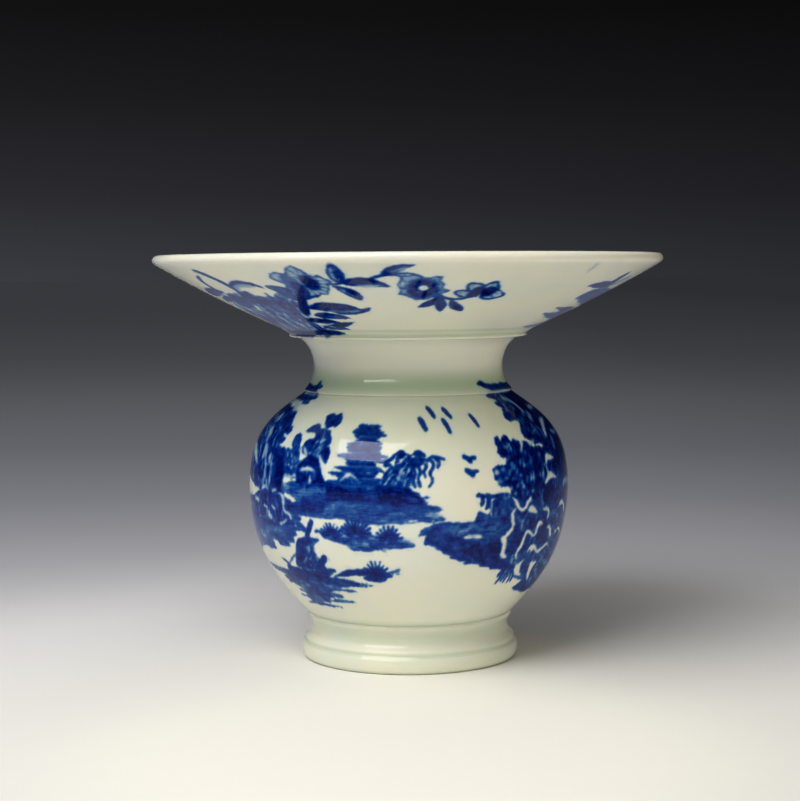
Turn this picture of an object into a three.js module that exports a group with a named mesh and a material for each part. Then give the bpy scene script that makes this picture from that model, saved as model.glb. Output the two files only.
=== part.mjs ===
// Spittoon of blue-and-white porcelain. Millimetres, +Z up, standing on z = 0 with its axis on Z.
// It is made the way a potter builds one: four turned sections, luted end to end on flat faces.
// From the bottom they are the foot ring, the globe, the neck collar and the flared rim.
// Each section ends at a line that can be seen on the finished pot.
import * as THREE from 'three';

// Height of each section; together they are the height of the pot
const footHeight = 13.3;
const globeHeight = 63.6;
const neckHeight = 15.7;
const rimHeight = 23.4;

// Wall of the thrown body, and of the saucer-shaped rim, which is a little thinner
const bodyWall = 3.2;
const rimWall = 3.0;

// Globe: a full belly above a turned foot, with a sloping shoulder
const bellyRadius = 46.1;
const bellyLift = 37.1; // widest place, above the foot joint
const footJointRadius = 29.7;
const floorThickness = 4.2;
const floorCorner = 3.0; // rounding where the wall meets the floor inside
const bellyLowerReach = 18.6; // length of the upright handles of the belly curve
const bellyUpperReach = 16.6;
const undersideHandle = { out: 8.9, up: 9.6 }; // direction in which the globe leaves the foot
const shoulderHandle = { out: 7.9, down: 5.8 }; // direction in which it arrives at the neck

// Neck: a waisted collar with a fine bead round its foot
const neckFootRadius = 29.6; // outside of the joint with the globe
const neckBeadProud = 0.35;
const neckBeadHeight = 0.8;
const waistDepth = 2.35; // how far the waist lies inside the neck's foot
const waistLift = 7.0; // waist, above the joint with the globe
const neckFlare = 6.1; // how far the top of the neck spreads out from the waist
const throatFlare = 1.4; // the same inside, where the bore opens into the saucer

// Rim: a wide shallow saucer on a small turned ledge
const rimRadius = 73.0;
const ledgeOverhang = 1.2; // ledge, outside the top of the neck
const ledgeHeight = 0.7;
const stepWidth = 1.5; // short steep band between the ledge and the saucer
const stepHeight = 1.5;
const saucerBulge = 0.6; // the saucer's outline bows out by this much
const lipHeight = 2.7; // upright band round the edge
const lipUndercut = 0.7;
const lipWidth = 2.0;
const throatRound = 3.6;

// Foot: a torus, a low bead, a hollow and a thin ridge under the globe
const restRadius = 30.2; // outside of the flat ring that it stands on
const restWidth = 3.2;
const torusProud = 1.2;
const torusHeight = 4.7;
const beadDepth = 0.35; // the bead's radius, inside that of the rest
const beadHeight = 1.5;
const grooveDepth = 0.3;
const hollowDepth = 1.6;
const ridgeHeight = 1.7;
const ridgeProud = 0.4;
const recessInset = 4.9; // foot ring's thickness where it joins the globe

// Faces round the axis, and chords in each stretch of the outlines
const turns = 60;
const longChords = 8;
const middleChords = 4;
const shortChords = 3;

const footTop = footHeight;
const globeTop = footTop + globeHeight;
const neckTop = globeTop + neckHeight;
const rimTop = neckTop + rimHeight;

const waistRadius = neckFootRadius - waistDepth;
const boreRadius = waistRadius - bodyWall;
const mouthRadius = neckFootRadius - bodyWall;
const throatRadius = boreRadius + throatFlare;
const neckTopRadius = waistRadius + neckFlare;
const ledgeRadius = neckTopRadius + ledgeOverhang;
const quarterTurn = Math.PI / 2;

// A place on an outline: distance from the axis, and height
function at(radius, height) {
  return new THREE.Vector2(radius, height);
}

// Half of an ellipse that stands on its end, from its foot to its top; proud is below zero for a hollow
function roll(radius, bottom, top, proud, chords) {
  const hollow = proud < 0;
  const turn = hollow ? -quarterTurn * 3 : quarterTurn;
  const middle = (bottom + top) / 2;
  const arc = new THREE.EllipseCurve(
    radius, middle, Math.abs(proud), (top - bottom) / 2, -quarterTurn, turn, hollow);
  return arc.getPoints(chords);
}

// A shallow arc between two places, bowed to the right of the way it runs
function bowed(start, end, bulge, chords) {
  const middle = start.clone().add(end).multiplyScalar(0.5);
  const along = end.clone().sub(start).normalize();
  const handle = at(middle.x + along.y * bulge * 2, middle.y - along.x * bulge * 2);
  return new THREE.QuadraticBezierCurve(start, handle, end).getPoints(chords);
}

// The same line, moved square to itself towards the inside of the pot
function inset(points, wall) {
  return points.map((point, i) => {
    const before = points[Math.max(i - 1, 0)];
    const after = points[Math.min(i + 1, points.length - 1)];
    const along = after.clone().sub(before).normalize();
    return at(point.x - along.y * wall, point.y + along.x * wall);
  });
}

// Stretches of an outline joined into one line; an end that repeats the last place is left out
function outline(...stretches) {
  const sameSpot = 1e-6;
  return stretches.flat().filter((point, i, all) => i === 0 || point.distanceTo(all[i - 1]) > sameSpot);
}

function footRingOutline() {
  const beadTop = torusHeight + beadHeight;
  const ridgeBottom = footTop - ridgeHeight;
  const beadRadius = restRadius - beadDepth;
  const outside = outline(
    roll(restRadius, 0, torusHeight, torusProud, middleChords + 1),
    roll(beadRadius - grooveDepth, torusHeight, beadTop, grooveDepth, shortChords),
    roll(footJointRadius, beadTop, ridgeBottom, -hollowDepth, middleChords + 1),
    roll(footJointRadius, ridgeBottom, footTop, ridgeProud, shortChords));
  const recessTop = at(footJointRadius - recessInset, footTop);
  const restInside = at(restRadius - restWidth, 0);
  return outline(outside, [recessTop, restInside, outside[0].clone()]);
}

function globeOutline() {
  const belly = footTop + bellyLift;
  const lower = new THREE.CubicBezierCurve(
    at(footJointRadius, footTop),
    at(footJointRadius + undersideHandle.out, footTop + undersideHandle.up),
    at(bellyRadius, belly - bellyLowerReach),
    at(bellyRadius, belly));
  const upper = new THREE.CubicBezierCurve(
    at(bellyRadius, belly),
    at(bellyRadius, belly + bellyUpperReach),
    at(neckFootRadius + shoulderHandle.out, globeTop - shoulderHandle.down),
    at(neckFootRadius, globeTop));
  const outside = outline(lower.getPoints(longChords), upper.getPoints(longChords));
  const floor = footTop + floorThickness;
  const wall = inset(outside, bodyWall).filter((point) => point.y > floor + floorCorner / 2);
  const inside = [at(mouthRadius, globeTop), ...wall.reverse()];
  const floorEdge = at(inside.at(-1).x - floorCorner, floor);
  return outline([at(0, footTop)], outside, inside, [floorEdge, at(0, floor)]);
}

function neckOutline() {
  const beadTop = globeTop + neckBeadHeight;
  const waist = globeTop + waistLift;
  const lowerCove = new THREE.QuadraticBezierCurve(
    at(neckFootRadius, beadTop), at(waistRadius, (beadTop + waist) / 2), at(waistRadius, waist));
  const upperCove = new THREE.EllipseCurve(
    neckTopRadius, waist, neckFlare, neckTop - waist, Math.PI, quarterTurn, true);
  const bore = new THREE.CubicBezierCurve(
    at(throatRadius, neckTop), at(boreRadius, neckTop - throatRound),
    at(boreRadius, waist), at(mouthRadius, globeTop));
  const outside = outline(
    roll(neckFootRadius, globeTop, beadTop, neckBeadProud, shortChords),
    lowerCove.getPoints(middleChords),
    upperCove.getPoints(middleChords + 1));
  return outline(outside, bore.getPoints(middleChords + 1), [outside[0].clone()]);
}

function rimOutline() {
  const ledgeTop = neckTop + ledgeHeight;
  const stepTop = ledgeTop + stepHeight;
  const lipBottom = rimTop - lipHeight;
  const saucerBase = at(ledgeRadius + stepWidth, stepTop);
  const saucerEdge = at(rimRadius - lipUndercut, lipBottom);
  const saucer = bowed(saucerBase, saucerEdge, saucerBulge, longChords);
  const dishEdge = at(rimRadius - lipWidth, rimTop);
  const dishFoot = inset(saucer, rimWall)[0].add(at(-throatRound, -throatRound / 2));
  const dish = bowed(dishFoot, dishEdge, saucerBulge, longChords).reverse();
  const lip = new THREE.CubicBezierCurve(
    saucerEdge, at(rimRadius, lipBottom + lipUndercut),
    at(rimRadius, lipBottom + lipUndercut), at(rimRadius, rimTop - lipHeight / 2));
  const lipCrown = new THREE.QuadraticBezierCurve(
    at(rimRadius, rimTop - lipHeight / 2), at(rimRadius, rimTop), dishEdge);
  const throat = new THREE.QuadraticBezierCurve(
    dishFoot, at(throatRadius + throatFlare / 2, ledgeTop + stepHeight / 2), at(throatRadius, neckTop));
  const underLedge = at(ledgeRadius - ledgeHeight, neckTop);
  return outline(
    [underLedge, at(ledgeRadius, ledgeTop)], saucer,
    lip.getPoints(shortChords), lipCrown.getPoints(shortChords),
    dish, throat.getPoints(shortChords), [underLedge.clone()]);
}

// Glazed porcelain: a greenish cream, smooth and glossy; the foot shows a little greyer where glaze thins
const glaze = { roughness: 0.15, metalness: 0 };

function section(name, points, color) {
  const geometry = new THREE.LatheGeometry(points, turns);
  geometry.rotateX(quarterTurn);
  const mesh = new THREE.Mesh(geometry, new THREE.MeshStandardMaterial({ ...glaze, color }));
  mesh.name = name;
  return mesh;
}

const spittoon = new THREE.Group();
spittoon.name = 'spittoon';
spittoon.add(
  section('foot_ring', footRingOutline(), 0xdcdcc8),
  section('globe_body', globeOutline(), 0xe2dfca),
  section('neck_collar', neckOutline(), 0xdedbc6),
  section('flared_rim', rimOutline(), 0xe4e1cc));

export default spittoon;
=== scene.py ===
import math

import bmesh
import bpy
import numpy as np
from mathutils import Matrix, Vector


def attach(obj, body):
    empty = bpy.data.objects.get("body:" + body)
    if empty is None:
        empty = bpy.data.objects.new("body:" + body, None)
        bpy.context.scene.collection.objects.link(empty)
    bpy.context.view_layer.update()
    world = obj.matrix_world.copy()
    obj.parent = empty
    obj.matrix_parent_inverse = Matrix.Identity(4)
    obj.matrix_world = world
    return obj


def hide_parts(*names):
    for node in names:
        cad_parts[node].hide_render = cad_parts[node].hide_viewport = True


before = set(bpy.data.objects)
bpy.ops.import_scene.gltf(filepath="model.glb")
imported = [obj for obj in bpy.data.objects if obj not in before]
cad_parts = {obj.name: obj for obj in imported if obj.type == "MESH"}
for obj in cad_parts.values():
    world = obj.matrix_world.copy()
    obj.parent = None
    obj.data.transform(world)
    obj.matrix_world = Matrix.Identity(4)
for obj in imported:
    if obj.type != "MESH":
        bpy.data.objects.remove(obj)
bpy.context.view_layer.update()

mm = 0.001

# Camera, fitted to the turned edges in the photograph
cameraView = {
    "place": (0.0, -514.8, 110.23),
    "down": 4.052,  # degrees
    "left": 0.267,
    "roll": -0.352,
    "focalPixels": 1781.2,  # in an image 800 wide
    "imageWidth": 800,
    "sensor": 36.0,
    "clip": (0.01, 100),  # m
}


def placeCamera(view):
    down, left, roll = (math.radians(view[key]) for key in ("down", "left", "roll"))
    right = Vector((math.cos(left), math.sin(left), 0))
    ahead = Vector((-math.sin(left) * math.cos(down), math.cos(left) * math.cos(down), -math.sin(down)))
    up = right.cross(ahead)
    turn = Matrix((right * math.cos(roll) + up * math.sin(roll),
                   up * math.cos(roll) - right * math.sin(roll), -ahead)).transposed()
    data = bpy.data.cameras.new("photoCamera")
    data.sensor_fit = "HORIZONTAL"
    data.sensor_width = view["sensor"]
    data.lens = view["focalPixels"] / view["imageWidth"] * view["sensor"]
    data.clip_start, data.clip_end = view["clip"]
    camera = bpy.data.objects.new("photoCamera", data)
    bpy.context.scene.collection.objects.link(camera)
    camera.matrix_world = Matrix.Translation(Vector(view["place"]) * mm) @ turn.to_4x4()
    bpy.context.scene.camera = camera


placeCamera(cameraView)
print("camera placed")


# Outlines: lines of (radius, height), drawn finely and then thinned to the mesh's own steps
def bezier(a, b, c, d, steps=80):
    a, b, c, d = (np.array(place, float) for place in (a, b, c, d))
    t = np.linspace(0, 1, steps + 1)[:, None]
    return (1 - t) ** 3 * a + 3 * (1 - t) ** 2 * t * b + 3 * (1 - t) * t * t * c + t ** 3 * d


def bowed(a, b, bulge, steps=80):
    a, b = np.array(a, float), np.array(b, float)
    along = (b - a) / math.hypot(*(b - a))
    handle = (a + b) / 2 + np.array((along[1], -along[0])) * bulge * 2
    t = np.linspace(0, 1, steps + 1)[:, None]
    return (1 - t) ** 2 * a + 2 * (1 - t) * t * handle + t * t * b


def roll(radius, low, high, proud, steps=40):
    # Half an ellipse on its end, standing proud of the radius
    turn = np.linspace(-math.pi / 2, math.pi / 2, steps + 1)
    heights = (low + high) / 2 + (high - low) / 2 * np.sin(turn)
    return np.column_stack([radius + proud * np.cos(turn), heights])


def inset(line, wall):
    along = np.gradient(line, axis=0)
    along /= np.hypot(along[:, 0], along[:, 1])[:, None]
    return line + np.column_stack([-along[:, 1], along[:, 0]]) * wall


def arcLength(line):
    return np.concatenate([[0], np.cumsum(np.hypot(*np.diff(line, axis=0).T))])


def glazed(*stretches, softness=0.25):
    # Joins stretches and rounds the corners between them, as a coat of glaze does
    step = 0.1
    same = 1e-6  # places closer than this are one place
    line = np.vstack(stretches)
    line = line[np.concatenate([[True], np.diff(arcLength(line)) > same])]
    far = arcLength(line)
    count = max(4, round(far[-1] / step))
    even = np.linspace(0, far[-1], count + 1)
    fine = np.column_stack([np.interp(even, far, line[:, k]) for k in (0, 1)])
    reach = min(count // 2, math.ceil(softness * 3 / step))  # three deviations each way
    weights = np.exp(-0.5 * (np.arange(-reach, reach + 1) * step / softness) ** 2)
    padded = np.pad(fine, ((reach, reach), (0, 0)), mode="reflect", reflect_type="odd")
    return sum(w * padded[i:i + len(fine)] for i, w in enumerate(weights / weights.sum()))


def thinned(fine, longest, shortest=0.15, sharpest=14):
    # Keeps a place when the line has run or turned far enough since the last one, in mm or degrees
    far = arcLength(fine)
    heading = np.degrees(np.unwrap(np.arctan2(*np.gradient(fine, axis=0).T)))
    kept = [0]
    for i in range(1, len(fine) - 1):
        run = far[i] - far[kept[-1]]
        if run >= longest or (run > shortest and abs(heading[i] - heading[kept[-1]]) > sharpest):
            kept.append(i)
    if far[-1] - far[kept[-1]] < 2 * shortest and len(kept) > 2:
        kept.pop()
    return kept + [len(fine) - 1]


# Painting: the blue is drawn once for half of the pot and printed twice round it, as a transfer print is.
# Places are (degrees from the front, millimetres up the wall), and widths are in millimetres. Tones run
# from 0, bare glaze, to 1, the thickest cobalt.
edgeRoom = 1  # mm past a shape, which its ragged edge may reach


def newPrint(radius, low, high, seed):
    cell = 0.15  # mm, finer than the mesh that carries it
    perDegree = math.radians(radius)  # mm round the wall
    columns = round(180 * perDegree / cell)
    rows = round((high - low) / cell)
    rng = np.random.default_rng(seed)
    grain = np.zeros((rows, columns))
    for size, share in ((0.35, 0.4), (0.9, 0.4), (2.8, 0.35)):  # mm, and how strong that size of grain is
        grain += share * softNoise(rng, rows, columns, size / cell)
    return {"tone": np.zeros((rows, columns)), "hatch": np.zeros((rows, columns)), "grain": grain,
            "perDegree": perDegree, "low": low, "cell": cell}


def softNoise(rng, rows, columns, size):
    # Random heights, smoothed between knots this many cells apart, that meet round the pot
    down = max(2, round(rows / size))
    across = max(2, round(columns / size))
    knots = rng.normal(size=(down + 3, across))
    y = np.linspace(0, down, rows)
    x = np.arange(columns) * across / columns
    y0 = y.astype(int)
    x0 = x.astype(int)
    fy = (y - y0)[:, None]
    fx = (x - x0)[None, :]
    fy = fy * fy * (3 - 2 * fy)
    fx = fx * fx * (3 - 2 * fx)
    x1 = (x0 + 1) % across
    top = knots[y0][:, x0] * (1 - fx) + knots[y0][:, x1] * fx
    low = knots[y0 + 1][:, x0] * (1 - fx) + knots[y0 + 1][:, x1] * fx
    return top * (1 - fy) + low * fy


def toWall(sheet, places):
    # Degrees to millimetres from the print's left edge
    places = np.array(places, float)
    return np.column_stack([(places[:, 0] + 90) * sheet["perDegree"], places[:, 1]])


def curved(points, closed=False, steps=5):
    # A smooth line through the points
    count = len(points)
    if count < 3:
        return points
    line = []
    for i in range(count if closed else count - 1):
        if closed:
            a, b, c, d = (points[(i + k) % count] for k in (-1, 0, 1, 2))
        else:
            a, b, c, d = (points[min(max(i + k, 0), count - 1)] for k in (-1, 0, 1, 2))
        for t in np.arange(steps) / steps:
            line.append(0.5 * (2 * b + (c - a) * t + (2 * a - 5 * b + 4 * c - d) * t * t
                               + (3 * b - a - 3 * c + d) * t ** 3))
    if not closed:
        line.append(points[-1])
    return np.array(line)


def window(sheet, line, margin):
    # The part of the print round a line: its rows and columns, and the place of each cell
    cell = sheet["cell"]
    rows, columns = sheet["tone"].shape
    left, bottom = line.min(0) - margin
    right, top = line.max(0) + margin
    across = np.arange(math.floor(left / cell), math.ceil(right / cell) + 1)
    up = np.arange(max(0, math.floor((bottom - sheet["low"]) / cell)),
                   min(rows, math.ceil((top - sheet["low"]) / cell) + 1))
    x = (across[None, :] + 0.5) * cell
    y = sheet["low"] + (up[:, None] + 0.5) * cell
    return np.ix_(up, across % columns), x, y


def lineDistance(x, y, line, widths):
    # Distance from a line, less half its width there
    near = np.full(np.broadcast_shapes(x.shape, y.shape), np.inf)
    for (ax, ay), (bx, by), wa, wb in zip(line[:-1], line[1:], widths[:-1], widths[1:]):
        dx, dy = bx - ax, by - ay
        t = np.clip(((x - ax) * dx + (y - ay) * dy) / max(dx * dx + dy * dy, 1e-9), 0, 1)
        near = np.minimum(near, np.hypot(x - ax - t * dx, y - ay - t * dy) - (wa + (wb - wa) * t) / 2)
    return near


def shapeDistance(x, y, line):
    # Distance from a closed shape's edge, below zero inside it
    around = np.vstack([line, line[:1]])
    edge = lineDistance(x, y, around, np.zeros(len(around)))
    inside = np.zeros(edge.shape, bool)
    for (ax, ay), (bx, by) in zip(around[:-1], around[1:]):
        if ay != by:
            inside ^= ((ay > y) != (by > y)) & (x < ax + (bx - ax) * (y - ay) / (by - ay))
    return np.where(inside, -edge, edge)


def lay(sheet, cells, distance, tone, soft=0.3, ragged=0.22, mottle=0.06, hatch=None):
    # Soft is the width of the edge and ragged how far it wanders; mottle is how uneven the tone is
    grain = sheet["grain"][cells]
    cover = np.clip(0.5 - (distance + ragged * grain) / soft, 0, 1)
    here = np.clip(tone * (1 + mottle * grain), 0, 1)
    sheet["tone"][cells] += (here - sheet["tone"][cells]) * cover
    if hatch is not None:
        sheet["hatch"][cells] += (hatch - sheet["hatch"][cells]) * cover


def brush(sheet, places, width, tone, **look):
    stroke(sheet, curved(toWall(sheet, places)), width, tone, **look)


def stroke(sheet, line, width, tone, tips=(0.35, 0.35), **look):
    # Tips are the widths of the stroke's two ends, as shares of its full width
    swell = 5  # it is at its full width a fifth of the way in
    first, last = tips
    t = np.linspace(0, 1, len(line))
    full = np.minimum(first + t * swell * (1 - first), last + (1 - t) * swell * (1 - last))
    cells, x, y = window(sheet, line, width + edgeRoom)
    if cells[0].size:
        lay(sheet, cells, lineDistance(x, y, line, width * np.minimum(1, full)), tone, **look)


def fill(sheet, places, tone, edge=None, edgeWidth=0.5, sharp=False, **look):
    # A closed shape, with a line of another tone round its inside if edge is given
    line = toWall(sheet, places)
    if not sharp:
        line = curved(line, closed=True)
    cells, x, y = window(sheet, line, edgeRoom)
    distance = shapeDistance(x, y, line)
    if edge is not None:
        lay(sheet, cells, distance, edge, **look)
        distance = distance + edgeWidth
    lay(sheet, cells, distance, tone, **look)


def leaf(sheet, root, tip, width, bend=0.0, tone=0.95, pale=None, side=1, **look):
    # A pointed leaf with a bent midrib, widest towards its root; pale is the tone of a streak on one side
    a, b = toWall(sheet, (root, tip))
    along = b - a
    across = np.array([-along[1], along[0]])
    length = math.hypot(*along)
    across /= length
    t = np.linspace(0, 1, 13)[:, None]
    spine = a + along * t + across * bend * 4 * t * (1 - t)
    half = width / 2 * np.sin(np.pi * t ** 0.8) ** 0.85
    outline = np.vstack([spine + across * half, (spine - across * half)[-2:0:-1]])
    cells, x, y = window(sheet, outline, edgeRoom)
    lay(sheet, cells, shapeDistance(x, y, outline), tone, **look)
    if pale is not None:
        offMidrib, streakWidth = 0.35, 0.42  # shares of the half width and of the width
        streak = (spine + across * side * half * offMidrib)[3:10]
        widths = width * streakWidth * np.sin(np.linspace(0.15, 3.0, len(streak)))
        lay(sheet, cells, lineDistance(x, y, streak, widths), pale, soft=0.5)


def dabs(sheet, places, size, tone, **look):
    run = 0.05  # mm each way, so that a dab is the shortest of strokes
    for place in toWall(sheet, places):
        line = np.array([place - run, place + run])
        cells, x, y = window(sheet, line, size + edgeRoom)
        lay(sheet, cells, lineDistance(x, y, line, (size, size)), tone, **look)


def fan(sheet, foot, radius, count, tone, width=0.55, spread=84):
    # Reeds that spread from one root, long and short by turns
    inner, lower, short = 0.3, 0.1, 0.92  # shares of a reed's reach: where it starts, across and up, and ends
    x0, y0 = foot
    for i in range(count):
        lean = math.radians(-spread + 2 * spread * i / (count - 1))
        reach = radius * (1 if i % 2 else short)
        across, up = math.sin(lean) * reach, math.cos(lean) * reach
        start = (x0 + across * inner / sheet["perDegree"], y0 + up * lower)
        end = (x0 + across / sheet["perDegree"], y0 + up)
        brush(sheet, (start, end), width, tone, tips=(0.8, 0.8))


def strew(sheet, places, count, length, width, lean, tones, seed, **look):
    # Short strokes scattered within a shape, each near the given lean in degrees from level
    tries, stray = 4, 14  # places tried for each stroke, and the lean's deviation in degrees
    rng = np.random.default_rng(seed)
    line = toWall(sheet, places)
    spots = rng.uniform(line.min(0), line.max(0), (count * tries, 2))
    within = shapeDistance(spots[:, 0], spots[:, 1], line) < 0
    for place in spots[within][:count]:
        turn = math.radians(lean + rng.normal(0, stray))
        half = np.array([math.cos(turn), math.sin(turn)]) * length * rng.uniform(0.3, 0.65)
        sway = np.array([-half[1], half[0]]) * rng.uniform(-0.3, 0.3)
        bent = curved(np.array([place - half, place + sway, place + half]))
        stroke(sheet, bent, width * rng.uniform(0.7, 1.25), tones[rng.integers(len(tones))], **look)


def soften(tone, cell, radius):
    # Gaussian blur of the print, which wraps round the pot
    reach = math.ceil(radius * 2.5 / cell)  # two and a half deviations each way
    weights = np.exp(-0.5 * (np.arange(-reach, reach + 1) * cell / radius) ** 2)
    weights /= weights.sum()
    padded = np.pad(tone, ((reach, reach), (0, 0)), mode="edge")
    down = sum(w * padded[i:i + len(tone)] for i, w in enumerate(weights))
    return sum(w * np.roll(down, i - reach, axis=1) for i, w in enumerate(weights))


def paintLandscape(sheet):
    deep, dark, middle, wash, thin, bare = 1.0, 0.9, 0.78, 0.68, 0.42, 0.0

    # Reflections of the left bank in the water: a wash with streaky edges
    fill(sheet, ((-104, 47), (-90, 47.2), (-80, 47.8), (-72, 48.2), (-62, 48), (-50, 47), (-44, 45.5),
        (-40, 44.6), (-40.5, 43.4), (-43.6, 42.6), (-41.6, 41.2), (-43, 40.4), (-42.6, 39.4), (-45, 38.6),
        (-44.5, 37.2), (-48.5, 37.0), (-47.5, 36.0), (-53.5, 35.8), (-55, 37.4), (-58.5, 37.2),
        (-57.6, 35.5), (-62, 34.6), (-68, 34.2), (-74, 33.2), (-82, 31.4), (-92, 32.5), (-102, 35)), 0.66,
        mottle=0.14, hatch=0.6)
    strew(sheet, ((-96, 44), (-44, 44), (-43, 41), (-50, 38), (-70, 37), (-96, 36)), 60, 5.0, 0.8, 0,
        (0.5, wash, 0.4, dark, middle), 11, soft=0.7)
    for end, z in ((-39.6, 44.2), (-43, 42.6), (-40.4, 41.2), (-43.4, 39.6), (-44.4, 38.2), (-48, 36.6),
            (-57, 34.6)):
        brush(sheet, ((end - 6, z - 0.3), (end - 2.5, z + 0.1), (end, z)), 0.9, middle, tips=(0.3, 0.2))

    # The island under the pagoda
    fill(sheet, ((-50, 51.5), (-46, 53.9), (-40, 54.6), (-30.5, 54.8), (-28, 55.5), (-23, 55.3),
        (-17.5, 54.7), (-12, 55), (-5, 54.3), (-0.5, 54.1), (1.3, 53.0), (3, 51.7), (5, 49.9), (6.4, 49.1),
        (8.5, 48.9), (10.4, 48.3), (10.7, 47.4), (8.2, 46.6), (10.6, 46.2), (12.3, 45.3), (11.2, 44.6),
        (8, 45.2), (2, 45.1), (-2, 44.6), (-7, 44.2), (-12, 43.9), (-20, 44.6), (-26, 45.1), (-34, 45.0),
        (-43, 45.2), (-48, 46)), 0.63, mottle=0.14, hatch=0.9)
    strew(sheet, ((-40, 54.4), (0, 54), (9, 48), (10, 45.6), (0, 45.2), (-30, 45.6), (-46, 46.4),
        (-48, 51)), 130, 4.5, 0.55, 0, (0.3, 0.4, 0.5, 0.85, 0.85, middle), 12, soft=0.5)
    fill(sheet, ((-47.5, 46.0), (-46.5, 48.3), (-43, 48.7), (-40, 48.6), (-38, 50.2), (-33, 50.1),
        (-30, 49.6), (-29, 52), (-29.5, 54.6), (-27, 54.9), (-23.5, 54.0), (-20, 53.5), (-16, 53.9),
        (-12, 53.2), (-8, 53.9), (-1, 53.8), (1.5, 52.5), (4.2, 50.2), (6.5, 48.9), (10.3, 48.1),
        (10, 47.6), (4, 48.4), (0, 48.9), (-4, 48.3), (-10, 49.2), (-16, 49.6), (-24, 49.7), (-29, 48.8),
        (-30.5, 46.2), (-37, 45.8), (-42, 45.6)), dark, mottle=0.12, hatch=0.4, soft=0.9, ragged=0.35)
    strew(sheet, ((-28, 54), (0, 53.6), (5, 49.6), (-10, 49.6), (-28, 50)), 26, 2.6, 0.8, -8,
        (middle, wash, deep), 13, soft=0.7)
    fill(sheet, ((-10.5, 54.6), (-3, 54), (1, 52.8), (3.8, 50.2), (0.5, 49.6), (-5, 49.3), (-10, 50)), deep,
        soft=0.9, ragged=0.4)
    fill(sheet, ((-28, 54.2), (-22, 53), (-17, 52.8), (-17, 50.6), (-27, 50.6)), deep, soft=1.2, ragged=0.4)
    for a, z, b in ((-13.6, 53.7, -11.6), (-13.2, 49.9, -11.3), (0.6, 50.6, 2.2)):
        brush(sheet, ((a, z), (b, z - 0.1)), 0.85, thin, soft=0.6)
    brush(sheet, ((-48, 52.7), (-45.5, 52.2)), 1.9, 0.15, soft=0.8)
    brush(sheet, ((-47.6, 50.7), (-45.2, 49.9), (-42.2, 49.0)), 1.5, bare, soft=0.6)
    brush(sheet, ((-25, 49.1), (-20, 48.7), (-13, 48.5)), 0.5, 0.45, soft=0.6)
    brush(sheet, ((6.6, 46.8), (8.6, 46.6), (10.6, 46.8)), 0.5, 0.2, soft=0.5)
    for z, a in ((45.4, -34), (44.4, -16), (44.6, -6), (45.0, 2)):
        brush(sheet, ((a, z), (a + 5, z - 0.3), (a + 9, z)), 0.6, wash, tips=(0.2, 0.2))

    # Islets with reeds
    fill(sheet, ((-34.3, 40.9), (-31.5, 41.3), (-30.8, 39.5), (-28, 39.2), (-25, 38.5), (-22, 38.0),
        (-20.2, 36.5), (-14, 36.3), (-11, 37.0), (-8, 37.7), (-4, 38.0), (1.2, 37.6), (1.6, 38.7),
        (-2, 39.7), (-1.8, 40.7), (-8, 40.6), (-12, 41), (-18, 42), (-24, 41), (-28, 41.2), (-31, 41.6)),
        wash, mottle=0.16, hatch=0.9, ragged=0.3)
    strew(sheet, ((-32, 40.8), (0, 40), (0, 38.2), (-14, 36.8), (-20, 37), (-26, 38.8)), 56, 3.4, 0.55, 0,
        (dark, dark, 0.3, thin), 14, soft=0.5)
    brush(sheet, ((-34.4, 40.9), (-32.6, 41.2), (-30, 40.6)), 0.9, middle)
    for a, z, reach, count in ((-27.6, 40.4, 3.5, 9), (-18.2, 41.1, 4.4, 11), (-6.9, 40.0, 3.7, 9)):
        dabs(sheet, ((a - 2.2, z + 0.3), (a - 1, z + 0.9), (a, z + 1.1), (a + 1, z + 0.9),
            (a + 2.2, z + 0.3)), 2.2, 0.93, soft=0.7)
        fan(sheet, (a, z), reach, count, 0.95, width=0.72)
    for z, a, b in ((36.9, -21, -12), (38.0, -10, 1.4), (39.3, -29, -22)):
        brush(sheet, ((a, z), ((a + b) / 2, z - 0.3), (b, z)), 0.7, middle, tips=(0.2, 0.2))

    # The boat's reflection and the islet beside it
    fill(sheet, ((-61, 26.2), (-55, 27.4), (-54, 29.8), (-51, 30.4), (-49.6, 29.5), (-44, 29.5),
        (-37, 29.8), (-33, 29.9), (-29, 30.9), (-28.4, 30.3), (-30, 29.2), (-31.8, 28.2), (-29, 28.3),
        (-24, 28.0), (-19, 27.2), (-13, 26.4), (-19, 25.9), (-27, 25.5), (-33, 25.2), (-31, 24.6),
        (-37, 23.9), (-42, 23.3), (-33, 22.9), (-29, 22.4), (-36, 21.8), (-43, 21.5), (-37, 20.8),
        (-24.5, 21.2), (-33, 20.3), (-42, 19.8), (-38, 19.1), (-32.5, 18.6), (-44, 18.5), (-53, 18.9),
        (-50, 19.8), (-55.5, 20.9), (-50, 21.6), (-55, 22.6), (-50, 23.3), (-58, 24.8)), middle,
        mottle=0.16, hatch=0.5, ragged=0.35)
    strew(sheet, ((-58, 27), (-22, 27.6), (-30, 24), (-40, 19.4), (-50, 19.6), (-54, 24)), 60, 4.0, 0.55, 3,
        (dark, dark, 0.5, 0.35), 15, soft=0.5)
    brush(sheet, ((-74, 28.4), (-66, 28.0), (-58, 27.7), (-50, 28.0)), 1.6, middle, tips=(0.1, 0.8))
    brush(sheet, ((-29, 28.6), (-22, 30.0), (-16, 30.2), (-10, 29.8), (-6.5, 29.4)), 1.9, dark,
        tips=(0.2, 0.5))
    brush(sheet, ((-17, 28.7), (-12, 28.5), (-8.5, 29.1)), 1.9, dark, tips=(0.3, 0.3), mottle=0.2)
    brush(sheet, ((-8, 30.2), (-5.5, 30.7), (-3.2, 31.5)), 1.0, 0.6)
    brush(sheet, ((-8, 29.7), (-3.8, 30.0)), 0.9, 0.6)
    fan(sheet, (-12, 30.0), 3.7, 9, 0.95, width=0.72)
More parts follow.
